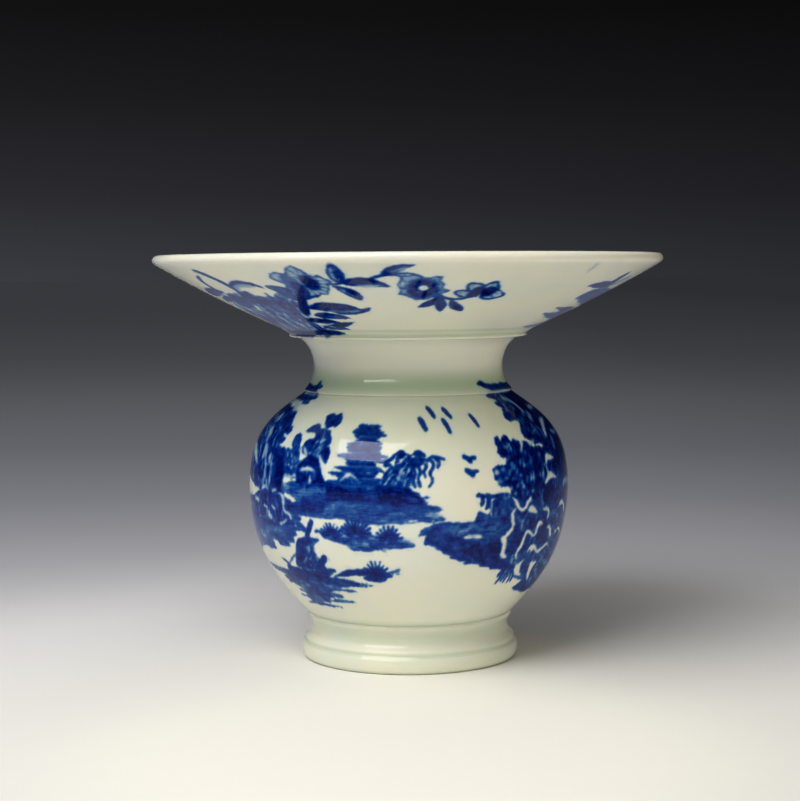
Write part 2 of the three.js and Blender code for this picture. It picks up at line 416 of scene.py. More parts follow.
    dabs(sheet, ((-14.2, 30.3), (-13, 30.9), (-12, 31.1), (-11, 30.9), (-9.8, 30.3)), 2.2, 0.93, soft=0.6)
    for a, z, b, width in ((-36, 24.3, -21.5, 0.7), (-20, 26.3, -12.2, 0.6), (-35, 22.5, -28.6, 0.6),
            (-36, 20.7, -24, 0.7), (-42, 18.7, -32, 0.6), (-60, 24.6, -52, 0.6), (-57, 20.8, -50, 0.6),
            (-55, 18.6, -48, 0.6)):
        brush(sheet, ((a, z), ((a + b) / 2, z + 0.2), (b, z + 0.1)), width, 0.7, tips=(0.2, 0.1))

    # The boat: hull, sail with its ties, mast and pennant
    brush(sheet, ((-56, 31.9), (-53.4, 31.2), (-51, 29.9)), 0.9, middle)
    brush(sheet, ((-52, 30.4), (-48, 32.6), (-45, 34.2)), 0.5, middle)
    brush(sheet, ((-53, 29.6), (-44, 28.6), (-36, 28.9), (-29.2, 30.4)), 2.1, dark, tips=(0.3, 0.4),
        soft=0.6)
    fill(sheet, ((-46.6, 30.2), (-46.2, 32.6), (-44.6, 35.4), (-42.8, 38.3), (-38.5, 39.2), (-33, 38.9),
        (-34.6, 37.8), (-36, 36), (-35, 34), (-33.6, 32), (-32, 30.3), (-38, 29.8)), dark, mottle=0.12)
    strew(sheet, ((-38.6, 37.5), (-35.6, 36.5), (-34.4, 32.4), (-38.6, 30.8)), 14, 1.8, 0.55, 78,
        (0.25, 0.35, deep), 16, soft=0.4)
    brush(sheet, ((-38.2, 38.5), (-37, 41), (-35.3, 43.8)), 1.5, dark, tips=(1, 0.8))
    fill(sheet, ((-42.8, 43.0), (-40.6, 43.4), (-38.4, 42.2), (-37.6, 41.0), (-39.4, 40.6), (-41.2, 41.6)),
        middle)
    brush(sheet, ((-38.6, 43.9), (-36.9, 43.5)), 0.7, 0.15, soft=0.5)
    brush(sheet, ((-35.6, 30.8), (-33.4, 32.4), (-31.4, 34.0)), 1.9, dark, tips=(0.9, 0.5))
    brush(sheet, ((-42.8, 30.0), (-41.6, 32.2), (-40.2, 34.4), (-39.0, 36.6), (-38.2, 38.2)), 0.35, deep)
    for a, z, tone in ((-42.3, 30.2, 0.4), (-41.6, 32.2, 0.3), (-40.5, 33.1, 0.3), (-40.2, 34.6, 0.35),
            (-39.4, 36.0, 0.4), (-38.4, 33.4, 0.45), (-36.6, 31.3, 0.2), (-38.6, 31.5, 0.4),
            (-36.4, 35.2, 0.5), (-36.8, 36.8, 0.5), (-35.4, 37.8, 0.5)):
        brush(sheet, ((a - 0.7, z - 0.5), (a + 0.7, z + 0.5)), 0.6, tone, soft=0.5)

    # Trees on the island's left
    fill(sheet, ((-49.4, 62.6), (-49.5, 57.5), (-48, 55.4), (-40, 55.2), (-41, 59), (-42, 62), (-43, 64.4),
        (-43.7, 66.4), (-45.3, 67), (-47.2, 66.6), (-47.8, 64.6), (-46.8, 62.8)), middle, mottle=0.16,
        ragged=0.35)
    strew(sheet, ((-49, 62), (-44, 63), (-41, 60.6), (-41.6, 56), (-49, 56)), 34, 1.5, 0.5, 62,
        (0.1, 0.2, 0.15, dark), 17, soft=0.4)
    strew(sheet, ((-49, 62), (-44, 63), (-41, 60.6), (-41.6, 56), (-49, 56)), 26, 1.5, 0.5, -50,
        (0.15, dark, deep), 18, soft=0.4)
    brush(sheet, ((-48.9, 55.9), (-45.6, 55.6), (-41.4, 55.7)), 0.8, 0.2, soft=0.5)
    strew(sheet, ((-47.4, 66.4), (-44, 66.4), (-43.6, 63.4), (-46.6, 63)), 8, 1.6, 0.5, 75, (0.6, dark), 19)
    fill(sheet, ((-41.6, 64.5), (-40, 65.8), (-37.6, 66.2), (-37.2, 67.6), (-35, 68.4), (-32, 68.2),
        (-30, 66.6), (-29.6, 64.8), (-31, 63), (-31.6, 61), (-33.5, 60), (-37, 60.4), (-39, 61.6),
        (-41, 62.2)), 0.86, mottle=0.14, ragged=0.35)
    strew(sheet, ((-36, 68), (-31, 67.4), (-31, 63), (-33, 61), (-38, 61.4), (-37, 65)), 12, 1.8, 0.6, 60,
        (0.4, 0.3, 0.2, deep), 20, soft=0.4)
    fill(sheet, ((-43.4, 67.8), (-40.8, 69.3), (-38, 69.5), (-36.4, 68.4), (-36.2, 66.8), (-39, 67.5),
        (-42, 67.4)), dark, mottle=0.14)
    leaf(sheet, (-33, 70), (-37.6, 71.8), 2.6, -0.5, dark)
    fill(sheet, ((-34.6, 70.4), (-33.4, 72), (-30.6, 72.3), (-28.6, 71.2), (-29.4, 69.8), (-31.6, 69.2),
        (-32.8, 68.6), (-34.6, 69.2)), dark, mottle=0.14)
    for spray in (((-36.6, 71.6), (-35.4, 70.2)), ((-33.6, 72.0), (-34, 70.4)),
            ((-30.4, 72.4), (-31.6, 70.6)), ((-28.6, 70.4), (-30.2, 69.6))):
        brush(sheet, spray, 1.1, dark, tips=(0.3, 1))
    leaf(sheet, (-31.6, 64.6), (-29.9, 59.4), 2.7, 0.5, dark)
    brush(sheet, ((-34.4, 68.4), (-33.6, 67), (-33.8, 65.4)), 0.5, 0.35, soft=0.5)
    brush(sheet, ((-41, 63.8), (-39.5, 62.4), (-38.2, 60.8)), 0.65, 0.15, soft=0.5)
    brush(sheet, ((-42.2, 64.0), (-43.0, 62.2)), 0.55, 0.15, soft=0.5)
    dabs(sheet, ((-37.2, 62.1), (-34.2, 63.4), (-33.3, 61.4), (-35.6, 65.2)), 0.8, 0.3, soft=0.6)

    # The hut: a round thatched roof, a pale gable and a fringe under it
    fill(sheet, ((-42.6, 57.4), (-41.8, 59.4), (-39.5, 60.6), (-36.4, 61.6), (-33.8, 61), (-32, 59.3),
        (-30.6, 56.6), (-29.2, 54.2), (-31, 53.6), (-36, 54), (-41.5, 54), (-41.6, 56.4)), deep, mottle=0.1)
    brush(sheet, ((-42.4, 57.2), (-41.4, 59.2), (-39.2, 60.4)), 0.45, 0.35, soft=0.4)
    fill(sheet, ((-40.6, 57.0), (-39.8, 58.3), (-37, 58.6), (-34.6, 58.2), (-33.6, 57.2), (-36, 57.4),
        (-38, 57.3)), 0.12, soft=0.5)
    for a in (-39.9, -38.7, -37.2, -34.4, -33.6):
        brush(sheet, ((a, 57.4), (a, 55.6)), 0.4, 0.5, tips=(1, 0.4), soft=0.4)
    brush(sheet, ((-35.7, 56.4), (-35.6, 54.6)), 1.1, 0.15, tips=(0.4, 0.8), soft=0.5)
    strew(sheet, ((-41.5, 54.6), (-30, 54.6), (-30, 53), (-41.5, 53)), 12, 1.4, 0.6, 90, (dark, dark, wash),
        21)
    brush(sheet, ((-32.6, 61.6), (-31.4, 59.4), (-30.0, 57.2), (-29.4, 55.6)), 0.8, 0.1, tips=(0.8, 0.5),
        soft=0.5)

    # The pagoda: banks of short level strokes, each roof reaching past the floor under it
    for z, left, right, width in ((69.4, -19.8, -11.0, 1.1), (68.5, -20.4, -10.6, 1.2),
            (67.9, -21.8, -9.6, 1.1), (67.2, -20.4, -8.3, 1.0), (66.5, -19.2, -11.2, 0.8),
            (65.7, -19.6, -11.2, 0.9), (64.9, -22.6, -10.6, 1.0), (64.1, -22.4, -9.7, 1.0),
            (63.3, -21.8, -10.2, 1.0), (62.5, -19.8, -11.4, 0.8), (61.8, -25.3, -7.4, 1.2),
            (61.0, -22.4, -11.8, 1.0), (60.3, -20.8, -12.2, 0.9), (59.5, -21.6, -12.6, 0.9),
            (58.7, -26.4, -9.8, 1.1), (58.0, -23.4, -12.0, 0.9), (57.2, -28.3, -10.2, 1.1),
            (56.5, -25.2, -11.0, 0.9), (55.7, -24.2, -7.6, 1.1), (54.9, -25.6, -8.8, 1.0)):
        brush(sheet, ((left, z + 0.15), ((left + right) / 2, z - 0.1), (right, z + 0.1)), width, 0.86,
            mottle=0.16)
    strew(sheet, ((-20, 69), (-11, 69), (-10.4, 56), (-23, 56), (-20.4, 62)), 60, 2.2, 0.7, 0,
        (deep, deep, dark, wash), 22, soft=0.5)
    for z, left, right in ((66.9, -18.6, -12), (65.3, -19, -11.4), (62.9, -20.6, -11), (60.7, -21.2, -12.2),
            (59.1, -22, -12), (57.6, -22.4, -10.4), (56.1, -15.6, -10.2)):
        brush(sheet, ((left, z), (right, z)), 0.45, 0.3, soft=0.4)
    fill(sheet, ((-23.2, 55.2), (-21.6, 56.4), (-19.8, 56.9), (-18, 56.2), (-16.8, 54.9), (-18.6, 54.3),
        (-20.6, 54.6)), wash, soft=0.5, mottle=0.2)
    brush(sheet, ((-23.4, 55.4), (-21.8, 56.5), (-20, 57.0), (-18.2, 56.4), (-16.6, 54.9)), 0.65, 0.12,
        soft=0.5)
    strew(sheet, ((-22, 55.8), (-18, 55.8), (-17.4, 54.6), (-22.6, 54.6)), 6, 1.2, 0.4, 90, (thin, dark),
        23)

    # Willow on the right of the pagoda: a dark mass combed with pale strokes
    fill(sheet, ((-9.4, 54.6), (-8.8, 57.2), (-7, 58.6), (-4.6, 59.4), (-4.4, 61.4), (-3.4, 62.8),
        (-1, 63.0), (0.8, 62.2), (2.2, 63.2), (3.8, 62.8), (5.0, 61.4), (4.6, 59.8), (2.4, 59.0),
        (1.6, 57.0), (0.6, 55.0), (-1.6, 54.2), (-5, 54.4)), dark, ragged=0.45, mottle=0.14)
    strew(sheet, ((-8.6, 55), (-7, 58), (-4, 59.4), (0.6, 59), (0.6, 55.6), (-4, 54.8)), 30, 2.1, 0.42, 56,
        (0.08, 0.15, 0.25, deep), 24, soft=0.35)
    strew(sheet, ((-4, 60.4), (-3.6, 62.4), (-1, 62.6), (1, 61.8), (3.4, 62.4), (4.4, 60.6), (0, 59.6)), 14,
        1.3, 0.4, 20, (0.05, 0.15, deep), 25, soft=0.35)
    for strand in (((-11.6, 61.0), (-8.6, 60.7), (-6.2, 61.1), (-4.2, 62.7)), ((-8.4, 59.6), (-6.6, 59.8),
            (-5.0, 58.6)), ((-11.6, 57.4), (-9.6, 58.2), (-7.6, 57.4)), ((4.4, 61.4), (6.4, 61.0),
            (7.8, 61.7), (10, 61.6), (12.4, 61.0)), ((2.4, 60.2), (3.8, 58.2), (3.2, 56.0), (3.9, 54.2)),
            ((0.9, 59.4), (2.2, 57.6), (1.5, 55.6), (2.1, 53.9)), ((5.0, 61.0), (6.0, 59.4), (5.2, 58.0),
            (5.6, 56.6)), ((7.6, 61.0), (8.4, 59.4), (7.2, 57.4), (8.0, 55.6), (6.7, 53.9)),
            ((9.4, 61.4), (10.4, 60.4), (9.8, 59.0)), ((6.0, 61.8), (4.4, 62.8), (3.0, 63.3)),
            ((-1.4, 62.8), (-2.8, 63.2), (-4.4, 62.4))):
        brush(sheet, strand, 0.85, dark, tips=(0.6, 0.6), mottle=0.12)
    dabs(sheet, ((8.3, 58.4), (7.6, 55.6), (3.3, 56.9), (9.9, 60.2), (5.6, 60.3)), 0.5, 0.4, soft=0.4)

    # Birds: a small head and a thicker body, as an engraver dots them in
    for a, z, across, down in ((4.7, 71.3, 2.0, 2.4), (8.7, 74.0, 2.0, 1.9), (15.9, 73.6, 2.1, 1.8),
            (14.5, 70.7, 1.5, 2.6), (27.3, 71.9, 1.2, 2.4)):
        brush(sheet, ((a, z), (a + across * 0.45, z - down * 0.35), (a + across, z - down)), 1.4, dark,
            tips=(0.9, 0.95))
    for a, z in ((21.4, 60.9), (21.8, 57.4)):
        brush(sheet, ((a - 2.0, z + 0.7), (a - 1.0, z + 0.3), (a, z - 0.3)), 1.2, dark, tips=(0.8, 1))
        brush(sheet, ((a, z - 0.3), (a + 1.0, z + 0.2), (a + 2.3, z + 0.3)), 1.1, dark, tips=(1, 0.7))
        dabs(sheet, ((a + 0.2, z - 0.7),), 1.1, dark)

    # The near bank on the right
    fill(sheet, ((3.0, 41.0), (4.4, 42.4), (6.4, 43.1), (8.4, 44.0), (12, 44.5), (17, 44.3), (22, 44.3),
        (23.2, 46.2), (24.4, 46.9), (26.4, 46.2), (28, 46.0), (31, 46), (37, 48), (41, 50), (48, 50),
        (60, 50), (84, 50), (88, 44), (84, 39), (87, 33), (82, 27), (84, 23), (76, 20.6), (68, 21.2),
        (60, 21.2), (54, 22.2), (48.4, 23.3), (51, 24.3), (53, 26.2), (47, 27.0), (44, 29.2), (38, 30.1),
        (33, 30.4), (29, 31.2), (26, 32.0), (23, 33.2), (20.5, 34.0), (18, 33.5), (16, 34.1), (14, 35.1),
        (12, 36.1), (10.2, 36.9), (9.2, 38.1), (5.4, 38.5), (5.6, 40.2), (6.8, 41.2), (4.6, 40.8)), middle,
        mottle=0.14, hatch=0.5, ragged=0.3)
    strew(sheet, ((7, 43), (34, 44), (36, 41), (20, 38), (8, 41)), 80, 3.0, 0.6, 4, (0.5, 0.36, dark, dark),
        26, soft=0.6)
    fill(sheet, ((6.5, 42.6), (9, 41.4), (13, 41.2), (18, 39.6), (24, 38.8), (30, 37.8), (35, 37.5),
        (35, 33), (38, 31.5), (44, 31), (42, 29.8), (33, 30.8), (27, 31.9), (21, 34.2), (15, 35),
        (10, 37.4), (6, 39.2)), 0.93, mottle=0.1, hatch=0.3, soft=1.0, ragged=0.4)
    strew(sheet, ((7, 41), (12, 41), (19, 37), (19, 34.4), (14, 35.6), (8, 38.6)), 14, 2.4, 0.8, -30,
        (wash, 0.6, dark), 27, soft=0.8)
    strew(sheet, ((20, 38), (36, 37), (38, 32), (24, 33.6)), 16, 2.6, 0.8, 0, (deep, deep, middle), 28,
        soft=0.8)
    brush(sheet, ((18.8, 39.8), (22, 40.1), (26.0, 39.7)), 1.1, 0.05, tips=(0.3, 0.3), soft=0.5)
    brush(sheet, ((25.4, 38.3), (27.8, 38.1)), 1.0, 0.22, soft=0.6)
    brush(sheet, ((19.4, 33.6), (21.6, 33.8), (23.6, 33.3)), 0.5, 0.1, tips=(0.4, 0.3), soft=0.5)
    brush(sheet, ((19.8, 32.8), (24, 32.7), (29, 31.4)), 0.8, middle, tips=(0.3, 0.8))
    brush(sheet, ((3.2, 40.6), (5.0, 42.2), (7.6, 43.0)), 1.0, 0.66, tips=(0.4, 0.8))
    for z, a in ((37.2, 9), (36.0, 11.5), (34.6, 14.4), (33.8, 16.8), (31.6, 26), (30.6, 31)):
        brush(sheet, ((a, z), (a + 3, z - 0.1), (a + 6, z - 0.5)), 0.8, dark, tips=(0.2, 0.6))

    # Small drooping tree on the bank
    fill(sheet, ((28, 45.4), (28.4, 48.2), (30, 50.2), (33, 51.2), (35.6, 51.3), (37.6, 49.6), (38.4, 47),
        (38, 44), (33, 43.4), (30, 44)), 0.86, mottle=0.16, ragged=0.35)
    strew(sheet, ((29, 45), (29.4, 49), (33, 50.8), (37, 50), (37.6, 44.6)), 22, 1.7, 0.5, 84,
        (wash, 0.5, deep), 29, soft=0.5)
    dabs(sheet, ((30.6, 49.9), (34.2, 49.8), (36.0, 50.3), (28.6, 45.9)), 0.7, 0.35, soft=0.5)
    brush(sheet, ((23.2, 51.2), (26, 51.0), (29, 50.6), (33, 50.9)), 1.1, dark, tips=(0.6, 0.8))
    for droop in (((25.2, 50.8), (25.6, 49.8), (25.0, 48.6)), ((27.2, 50.8), (27.6, 49.2), (26.8, 47.4)),
            ((28.4, 50.2), (27.8, 48.4), (26.6, 47.6)), ((30, 49.6), (28.8, 47), (28.4, 44.6)),
            ((24.2, 51.6), (23.4, 50.9)), ((26.8, 51.6), (28.2, 50.8))):
        brush(sheet, droop, 0.9, dark, tips=(0.7, 0.5))
    brush(sheet, ((28.6, 50.0), (29.0, 48.0), (28.5, 46.4), (29.4, 44.8)), 0.55, 0.25, soft=0.45)

    # Big dotted tree
    fill(sheet, ((33.2, 66.0), (34.8, 66.3), (36, 65.7), (37.6, 66.6), (39.2, 66.7), (40.4, 65.0),
        (42.6, 65.2), (44.4, 64.6), (45.4, 63.4), (47, 64.6), (49.4, 63.8), (51.6, 63), (54.6, 63),
        (57, 61.6), (56.6, 58.8), (55.4, 57.6), (57, 55.6), (55, 53.6), (54, 50), (49, 48.9), (44, 48.6),
        (40, 49.4), (37.2, 50.2), (36.2, 52.4), (34.4, 53.4), (32.2, 53.1), (31.4, 54.6), (30, 55.8),
        (29.7, 57.8), (31.4, 58.8), (33.8, 59.0), (35.6, 59.2), (35.8, 60.6), (34.2, 60.8), (32.8, 62.2),
        (33.4, 63.4), (32.8, 64.8)), 1.0, mottle=0.1, ragged=0.45)
    strew(sheet, ((37, 64), (44, 63), (50, 62), (55, 58), (54, 50), (42, 49.6), (37, 53), (36, 59)), 60,
        1.5, 0.5, 84, (0.3, 0.4, 0.34, deep, deep), 30, soft=0.45)
    strew(sheet, ((33.6, 65.6), (39, 66), (40, 63), (37, 59.6), (34, 62)), 16, 1.1, 0.5, 70,
        (0.4, 0.3, deep), 31, soft=0.45)
    dabs(sheet, ((34.0, 57.6), (37.0, 57.2), (38.0, 55.0), (35.0, 55.2), (41.8, 55.6), (43.8, 58.2),
        (40.0, 52.9), (37.0, 52.4), (42.4, 52.5), (38.8, 50.9), (44.4, 50.6), (47.3, 51.0)), 0.95, 0.3,
        soft=0.7)
    dabs(sheet, ((31.2, 57.0),), 1.7, 0.2, soft=0.8)
    dabs(sheet, ((32.3, 54.6),), 1.7, 0.38, soft=0.9)
    brush(sheet, ((43.7, 61.8), (44.9, 63.2), (46.0, 64.8)), 1.0, 0.15, soft=0.6)
    brush(sheet, ((51.2, 50.4), (52.6, 49.0), (53.4, 46.8)), 0.8, 0.4, soft=0.6)
    dabs(sheet, ((53.6, 60.6),), 1.3, 0.35, soft=0.7)

    # Branches that hang from the neck on the right, and their leaves
    fill(sheet, ((44.6, 70.9), (46.6, 72.4), (49, 73.6), (51, 74.8), (48.4, 75.5), (46.4, 76.0),
        (47.2, 76.9), (52, 77.1), (70, 77.0), (90, 77.0), (90, 58), (84, 58), (70, 57), (64, 59), (60, 62),
        (57, 63.4), (53, 63.2), (50.6, 64.6), (48.4, 65.8), (49.0, 68), (51.4, 69.6), (48.4, 69.8),
        (46, 69.8)), 1.02, mottle=0.1, ragged=0.3)
    for low, high, tone in ((77.9, 79.5, 0.93), (77.7, 79.3, 0.86)):
        brush(sheet, ((46, high), (54, low + 0.7), (64, low + 0.8), (76, low + 0.5), (88, low + 0.5)), 1.7,
            tone, tips=(0.5, 0.7))
    for root, tip, width, bend in (((52, 72.6), (44.2, 70.6), 2.6, 0.4), ((55, 74.6), (46, 74.2), 2.0, 0.4),
            ((52, 67), (47.8, 66.4), 2.2, -0.3), ((50, 78.9), (41.6, 79.7), 1.8, -0.3),
            ((52, 76.7), (45, 76.3), 1.2, 0.1)):
        leaf(sheet, root, tip, width, bend, 0.93)
    strew(sheet, ((50, 74), (58, 74), (60, 66), (56, 64), (51, 66)), 24, 2.4, 0.5, 40,
        (0.3, 0.45, deep, deep), 32, soft=0.45)
    brush(sheet, ((42, 77.3), (50, 77.4), (62, 77.4), (76, 77.3), (88, 77.2)), 0.7, 0.2, soft=0.5)
    for strip, width, tone in ((((49.4, 63.5), (51, 63.8), (53.4, 64.6)), 1.3, 0.2),
            (((55, 75.3), (58.8, 75.4), (61.4, 74.2), (61.4, 72.4), (60.2, 71.6)), 1.6, 0.3),
            (((60.6, 69.6), (62.4, 70.3), (64.8, 71.4)), 1.5, 0.36), (((63.6, 64.8), (66, 66.8), (70, 68.6),
            (76, 69.6)), 1.4, 0.16), (((66.6, 61.8), (68, 63.0), (69.0, 64.6)), 1.9, 0.45),
            (((70.6, 72.2), (75, 72.4), (82, 72.6)), 1.3, 0.2), (((57.6, 68.4), (58.6, 67.2), (59, 65.6)),
            0.8, 0.5), (((61, 67.6), (62.4, 66.2), (62.6, 64.4)), 0.8, 0.5), (((72, 66), (76, 65.4),
            (80, 65.8)), 1.2, 0.3), (((50, 69.8), (51.6, 70.0), (53, 69.4)), 0.7, 0.4)):
        brush(sheet, strip, width, tone, tips=(0.3, 0.4), soft=0.7)

    # The far trees, out of sight round the side
    fill(sheet, ((55.4, 60), (58, 62.6), (66, 61), (80, 59), (90, 58), (90, 49), (80, 48.5), (66, 47.4),
        (56, 46.6), (53, 49), (54.6, 53), (56, 56)), 1.0, mottle=0.12, hatch=0.3)
    strew(sheet, ((60, 58), (88, 58), (88, 49), (60, 49)), 50, 3.4, 0.7, 78, (wash, 0.5, deep, deep), 33,
        soft=0.6)
    fill(sheet, ((56.4, 58.0), (57.2, 60.0), (58.8, 60.7), (60.8, 60.1), (63.8, 59.0), (60.6, 58.6),
        (58.4, 58.5), (57.4, 57.6)), 0.08, soft=0.6)
    fill(sheet, ((54.4, 52.6), (55.8, 53.8), (57.2, 55.4), (58.8, 55.7), (60.8, 55.0), (64.4, 53.7),
        (61, 53.3), (58, 53.5), (56, 52.4)), 0.06, soft=0.6)
    brush(sheet, ((56.7, 58.2), (56.8, 56.6), (57.8, 55.2)), 0.8, 0.15, tips=(1, 1), soft=0.6)
    # A painted highlight: the pale patch across the dark far trees stands for a gleam of light on the glaze
    brush(sheet, ((71, 51.2), (75, 51.8), (80, 51.0)), 2.6, 0.3, tips=(0.8, 0.8), soft=1.0)

    # Rocks: scalloped white edges, with hatched shade between them
    fill(sheet, ((45, 44.6), (50, 44.4), (54, 44.8), (57, 42), (56, 36), (52, 35.8), (50.6, 38),
        (46, 38.8)), 0.95, soft=0.9)
    fill(sheet, ((38.6, 44), (41, 42), (43.6, 39), (43, 35.6), (41.6, 32), (38.6, 33), (36.4, 36),
        (37, 39.4)), dark, soft=0.8)
    strew(sheet, ((39, 44), (56, 44), (60, 36), (62, 24), (54, 24), (48, 30), (40, 32), (37, 36)), 80, 2.4,
        0.5, 74, (0.35, 0.5, deep, deep, deep), 34, soft=0.45)
    strew(sheet, ((58, 46), (84, 46), (84, 24), (60, 23)), 90, 3.4, 0.55, -28, (0.35, 0.3, 0.5, deep, deep),
        35, soft=0.5)
    fill(sheet, ((39.8, 44.6), (41.2, 43.8), (42.3, 43.6), (43.4, 43.9), (44.8, 45.0), (43.6, 43.2),
        (42.9, 41.2), (42.4, 40.2), (41.9, 41.4), (41.2, 43.0)), 0.3, soft=0.6)
    for crest, width in ((((38.9, 49.0), (40.3, 47.2), (42.2, 46.2), (43.8, 46.8), (44.8, 48.4),
            (46.2, 49.2)), 1.3), (((38.9, 46.6), (37.8, 45.6), (37.9, 43.8), (38.3, 42.4), (37.6, 41.0),
            (36.0, 39.8), (34.0, 38.8)), 1.2), (((34.2, 38.8), (35.4, 37.4), (35.4, 35.4), (35.2, 34.0),
            (37.6, 33.3)), 1.4), (((42.8, 32.6), (42.2, 34.2), (43.6, 36.0), (44.4, 38.0), (45.2, 39.6),
            (46.6, 39.9), (48.6, 38.8), (50.2, 38.4)), 1.25), (((50.6, 38.6), (50.9, 40.2), (52.2, 41.8),
            (54.4, 41.2)), 1.25), (((54.0, 45.4), (56.4, 45.3), (57.9, 44.4), (57.2, 42.4)), 1.2),
            (((58.2, 39.9), (60.0, 39.8), (61.4, 38.2), (62.6, 37.1)), 1.3), (((48.2, 33.9), (49.6, 35.3),
            (51.6, 35.2), (53.4, 34.0), (55.4, 33.4), (58.2, 34.2), (61, 34.9), (63.8, 34.0)), 1.1),
            (((66, 45), (69, 46.2), (72.6, 44.8), (74, 42.4)), 1.1), (((66, 37.4), (69.4, 38.6), (73, 37.2),
            (74.6, 35)), 1.1), (((75, 32), (78, 33.6), (81, 32)), 1.1), (((76, 40), (80, 41.6), (84, 40)),
            1.1)):
        brush(sheet, crest, width, 0.04, tips=(0.5, 0.5), soft=0.55)
    dabs(sheet, ((46.0, 49.0), (34.8, 38.4), (50.8, 34.6)), 1.6, 0.04, soft=0.6)
    fill(sheet, ((45.0, 45.6), (46.0, 47.0), (47.6, 47.2), (48.9, 46.2), (50.4, 44.7), (47.4, 45.0)), 0.06,
        soft=0.5)
    brush(sheet, ((40.2, 45.6), (42.3, 44.8), (44.4, 46.0)), 0.9, deep)
    brush(sheet, ((41.0, 47.9), (42.3, 47.3), (43.6, 48.0)), 0.9, dark)
    fill(sheet, ((47.8, 31.9), (45, 31), (43.5, 30.2), (44.2, 28.6), (45.8, 27.3), (48.6, 26.7),
        (49.4, 27.2), (47.6, 28.4), (46.8, 30.0), (47.2, 31)), 0.03, soft=0.5)
    brush(sheet, ((45.6, 27.1), (49, 26.3), (53, 25.9)), 0.8, middle, tips=(0.4, 0.4))
    fill(sheet, ((52.8, 30.4), (54.6, 30.6), (57.2, 30.2), (56.2, 28.6), (56.2, 27.0), (58.2, 24.6),
        (56, 25), (53.8, 26.8), (53, 28.6)), 0.04, soft=0.5)
    for shade in (((60, 37), (66, 35.4), (72, 34)), ((64, 33), (70, 31.4), (76, 30.4)),
            ((62, 30.6), (68, 28.6), (74, 27.6)), ((60, 27), (66, 25), (72, 24)),
            ((56.6, 32.6), (60, 31.6), (64, 29.8)), ((58, 44), (61, 43.4), (64, 44.2))):
        brush(sheet, shade, 0.8, thin, soft=0.8)

    # Grass under the rocks, and the bank's reflection
    for blade in (((39.4, 29.8), (38.2, 28.4), (36.4, 25.6)), ((41.0, 29.4), (40.9, 27.6), (40.2, 25.4)),
            ((42.0, 29.4), (42.9, 27.4), (42.6, 25.2)), ((43.4, 28.8), (44.4, 27.2), (44.2, 25.6)),
            ((38.6, 29.8), (37.0, 29.0), (36.0, 27.6)), ((40.4, 29.6), (39.4, 27.2), (38.8, 25.8))):
        brush(sheet, blade, 0.8, dark, tips=(1, 0.4))
    strew(sheet, ((37.4, 28.6), (43.6, 28.6), (43.4, 26.4), (38.4, 26.4)), 10, 1.6, 0.5, 70, (0.5, 0.6), 36)
    brush(sheet, ((48.2, 23.5), (54, 22.8), (61, 21.6), (70, 21.4)), 1.5, dark, tips=(0.2, 0.4))

    # Cliff and trees at the left, which meet the far trees at the side
    fill(sheet, ((-96, 73.6), (-88, 73.7), (-80, 73.6), (-72, 73.2), (-68, 72.9), (-62, 72.2),
        (-58.6, 71.9), (-56.4, 70.4), (-54.2, 68.8), (-52.0, 67.6), (-52.6, 66.6), (-55.4, 66.6),
        (-55.2, 65.8), (-53.0, 65.1), (-53.4, 64.2), (-55.6, 63.8), (-54, 62.9), (-51, 62.9), (-49.6, 61.4),
        (-49, 59), (-47.6, 57.6), (-48.6, 55.6), (-49.2, 53), (-49.8, 50.4), (-56, 50.2), (-62, 50.4),
        (-66, 50.8), (-70, 51.4), (-75, 52.4), (-80, 53.2), (-90, 53), (-96, 52)), 0.9, mottle=0.12,
        ragged=0.35)
    for z, start, width, tone in ((78.2, -60, 1.6, 0.93), (75.6, -61, 1.4, 0.9)):
        brush(sheet, ((-96, z), (-84, z + 0.1), (-72, z), (start - 2, z + 0.1)), width, tone, tips=(1, 0.6))
    for root, tip, width in (((-66, 78.2), (-56.2, 78.9), 1.8), ((-67, 77.2), (-57.4, 77.0), 1.1),
            ((-66, 75.6), (-55.2, 75.8), 1.5), ((-66, 75), (-56.8, 74.2), 1.2),
            ((-64, 79), (-59.4, 80.1), 1.2)):
        leaf(sheet, root, tip, width, 0.2, 0.88, pale=0.5)
    brush(sheet, ((-96, 76.9), (-84, 76.9), (-70, 76.8), (-62, 76.4)), 0.6, 0.35, soft=0.5)
    fill(sheet, ((-104, 49), (-90, 47.2), (-80, 47.6), (-72, 48.2), (-66, 50.0), (-60, 50.4), (-50, 50.4),
        (-48.6, 49.2), (-48, 46.4), (-44.6, 44.6), (-44, 42.6), (-50, 41.4), (-58, 41.2), (-66, 41.6),
        (-76, 43), (-90, 43), (-104, 42)), 0.86, mottle=0.15, ragged=0.3)
    strew(sheet, ((-86, 72), (-62, 71.4), (-56, 68), (-56, 62), (-50, 60), (-50, 52), (-66, 52), (-84, 56)),
        120, 3.0, 0.6, 105, (0.45, 0.3, 0.2, deep, deep, deep), 37, soft=0.6)
    strew(sheet, ((-86, 72), (-62, 71.4), (-57, 68), (-60, 64), (-84, 64)), 34, 3.6, 0.7, -20,
        (0.45, 0.25, deep, deep), 38, soft=0.6)
    strew(sheet, ((-92, 47), (-50, 49), (-46, 45), (-52, 42.4), (-90, 43)), 70, 2.4, 0.7, 100,
        (0.45, 0.3, deep, deep), 39, soft=0.55)
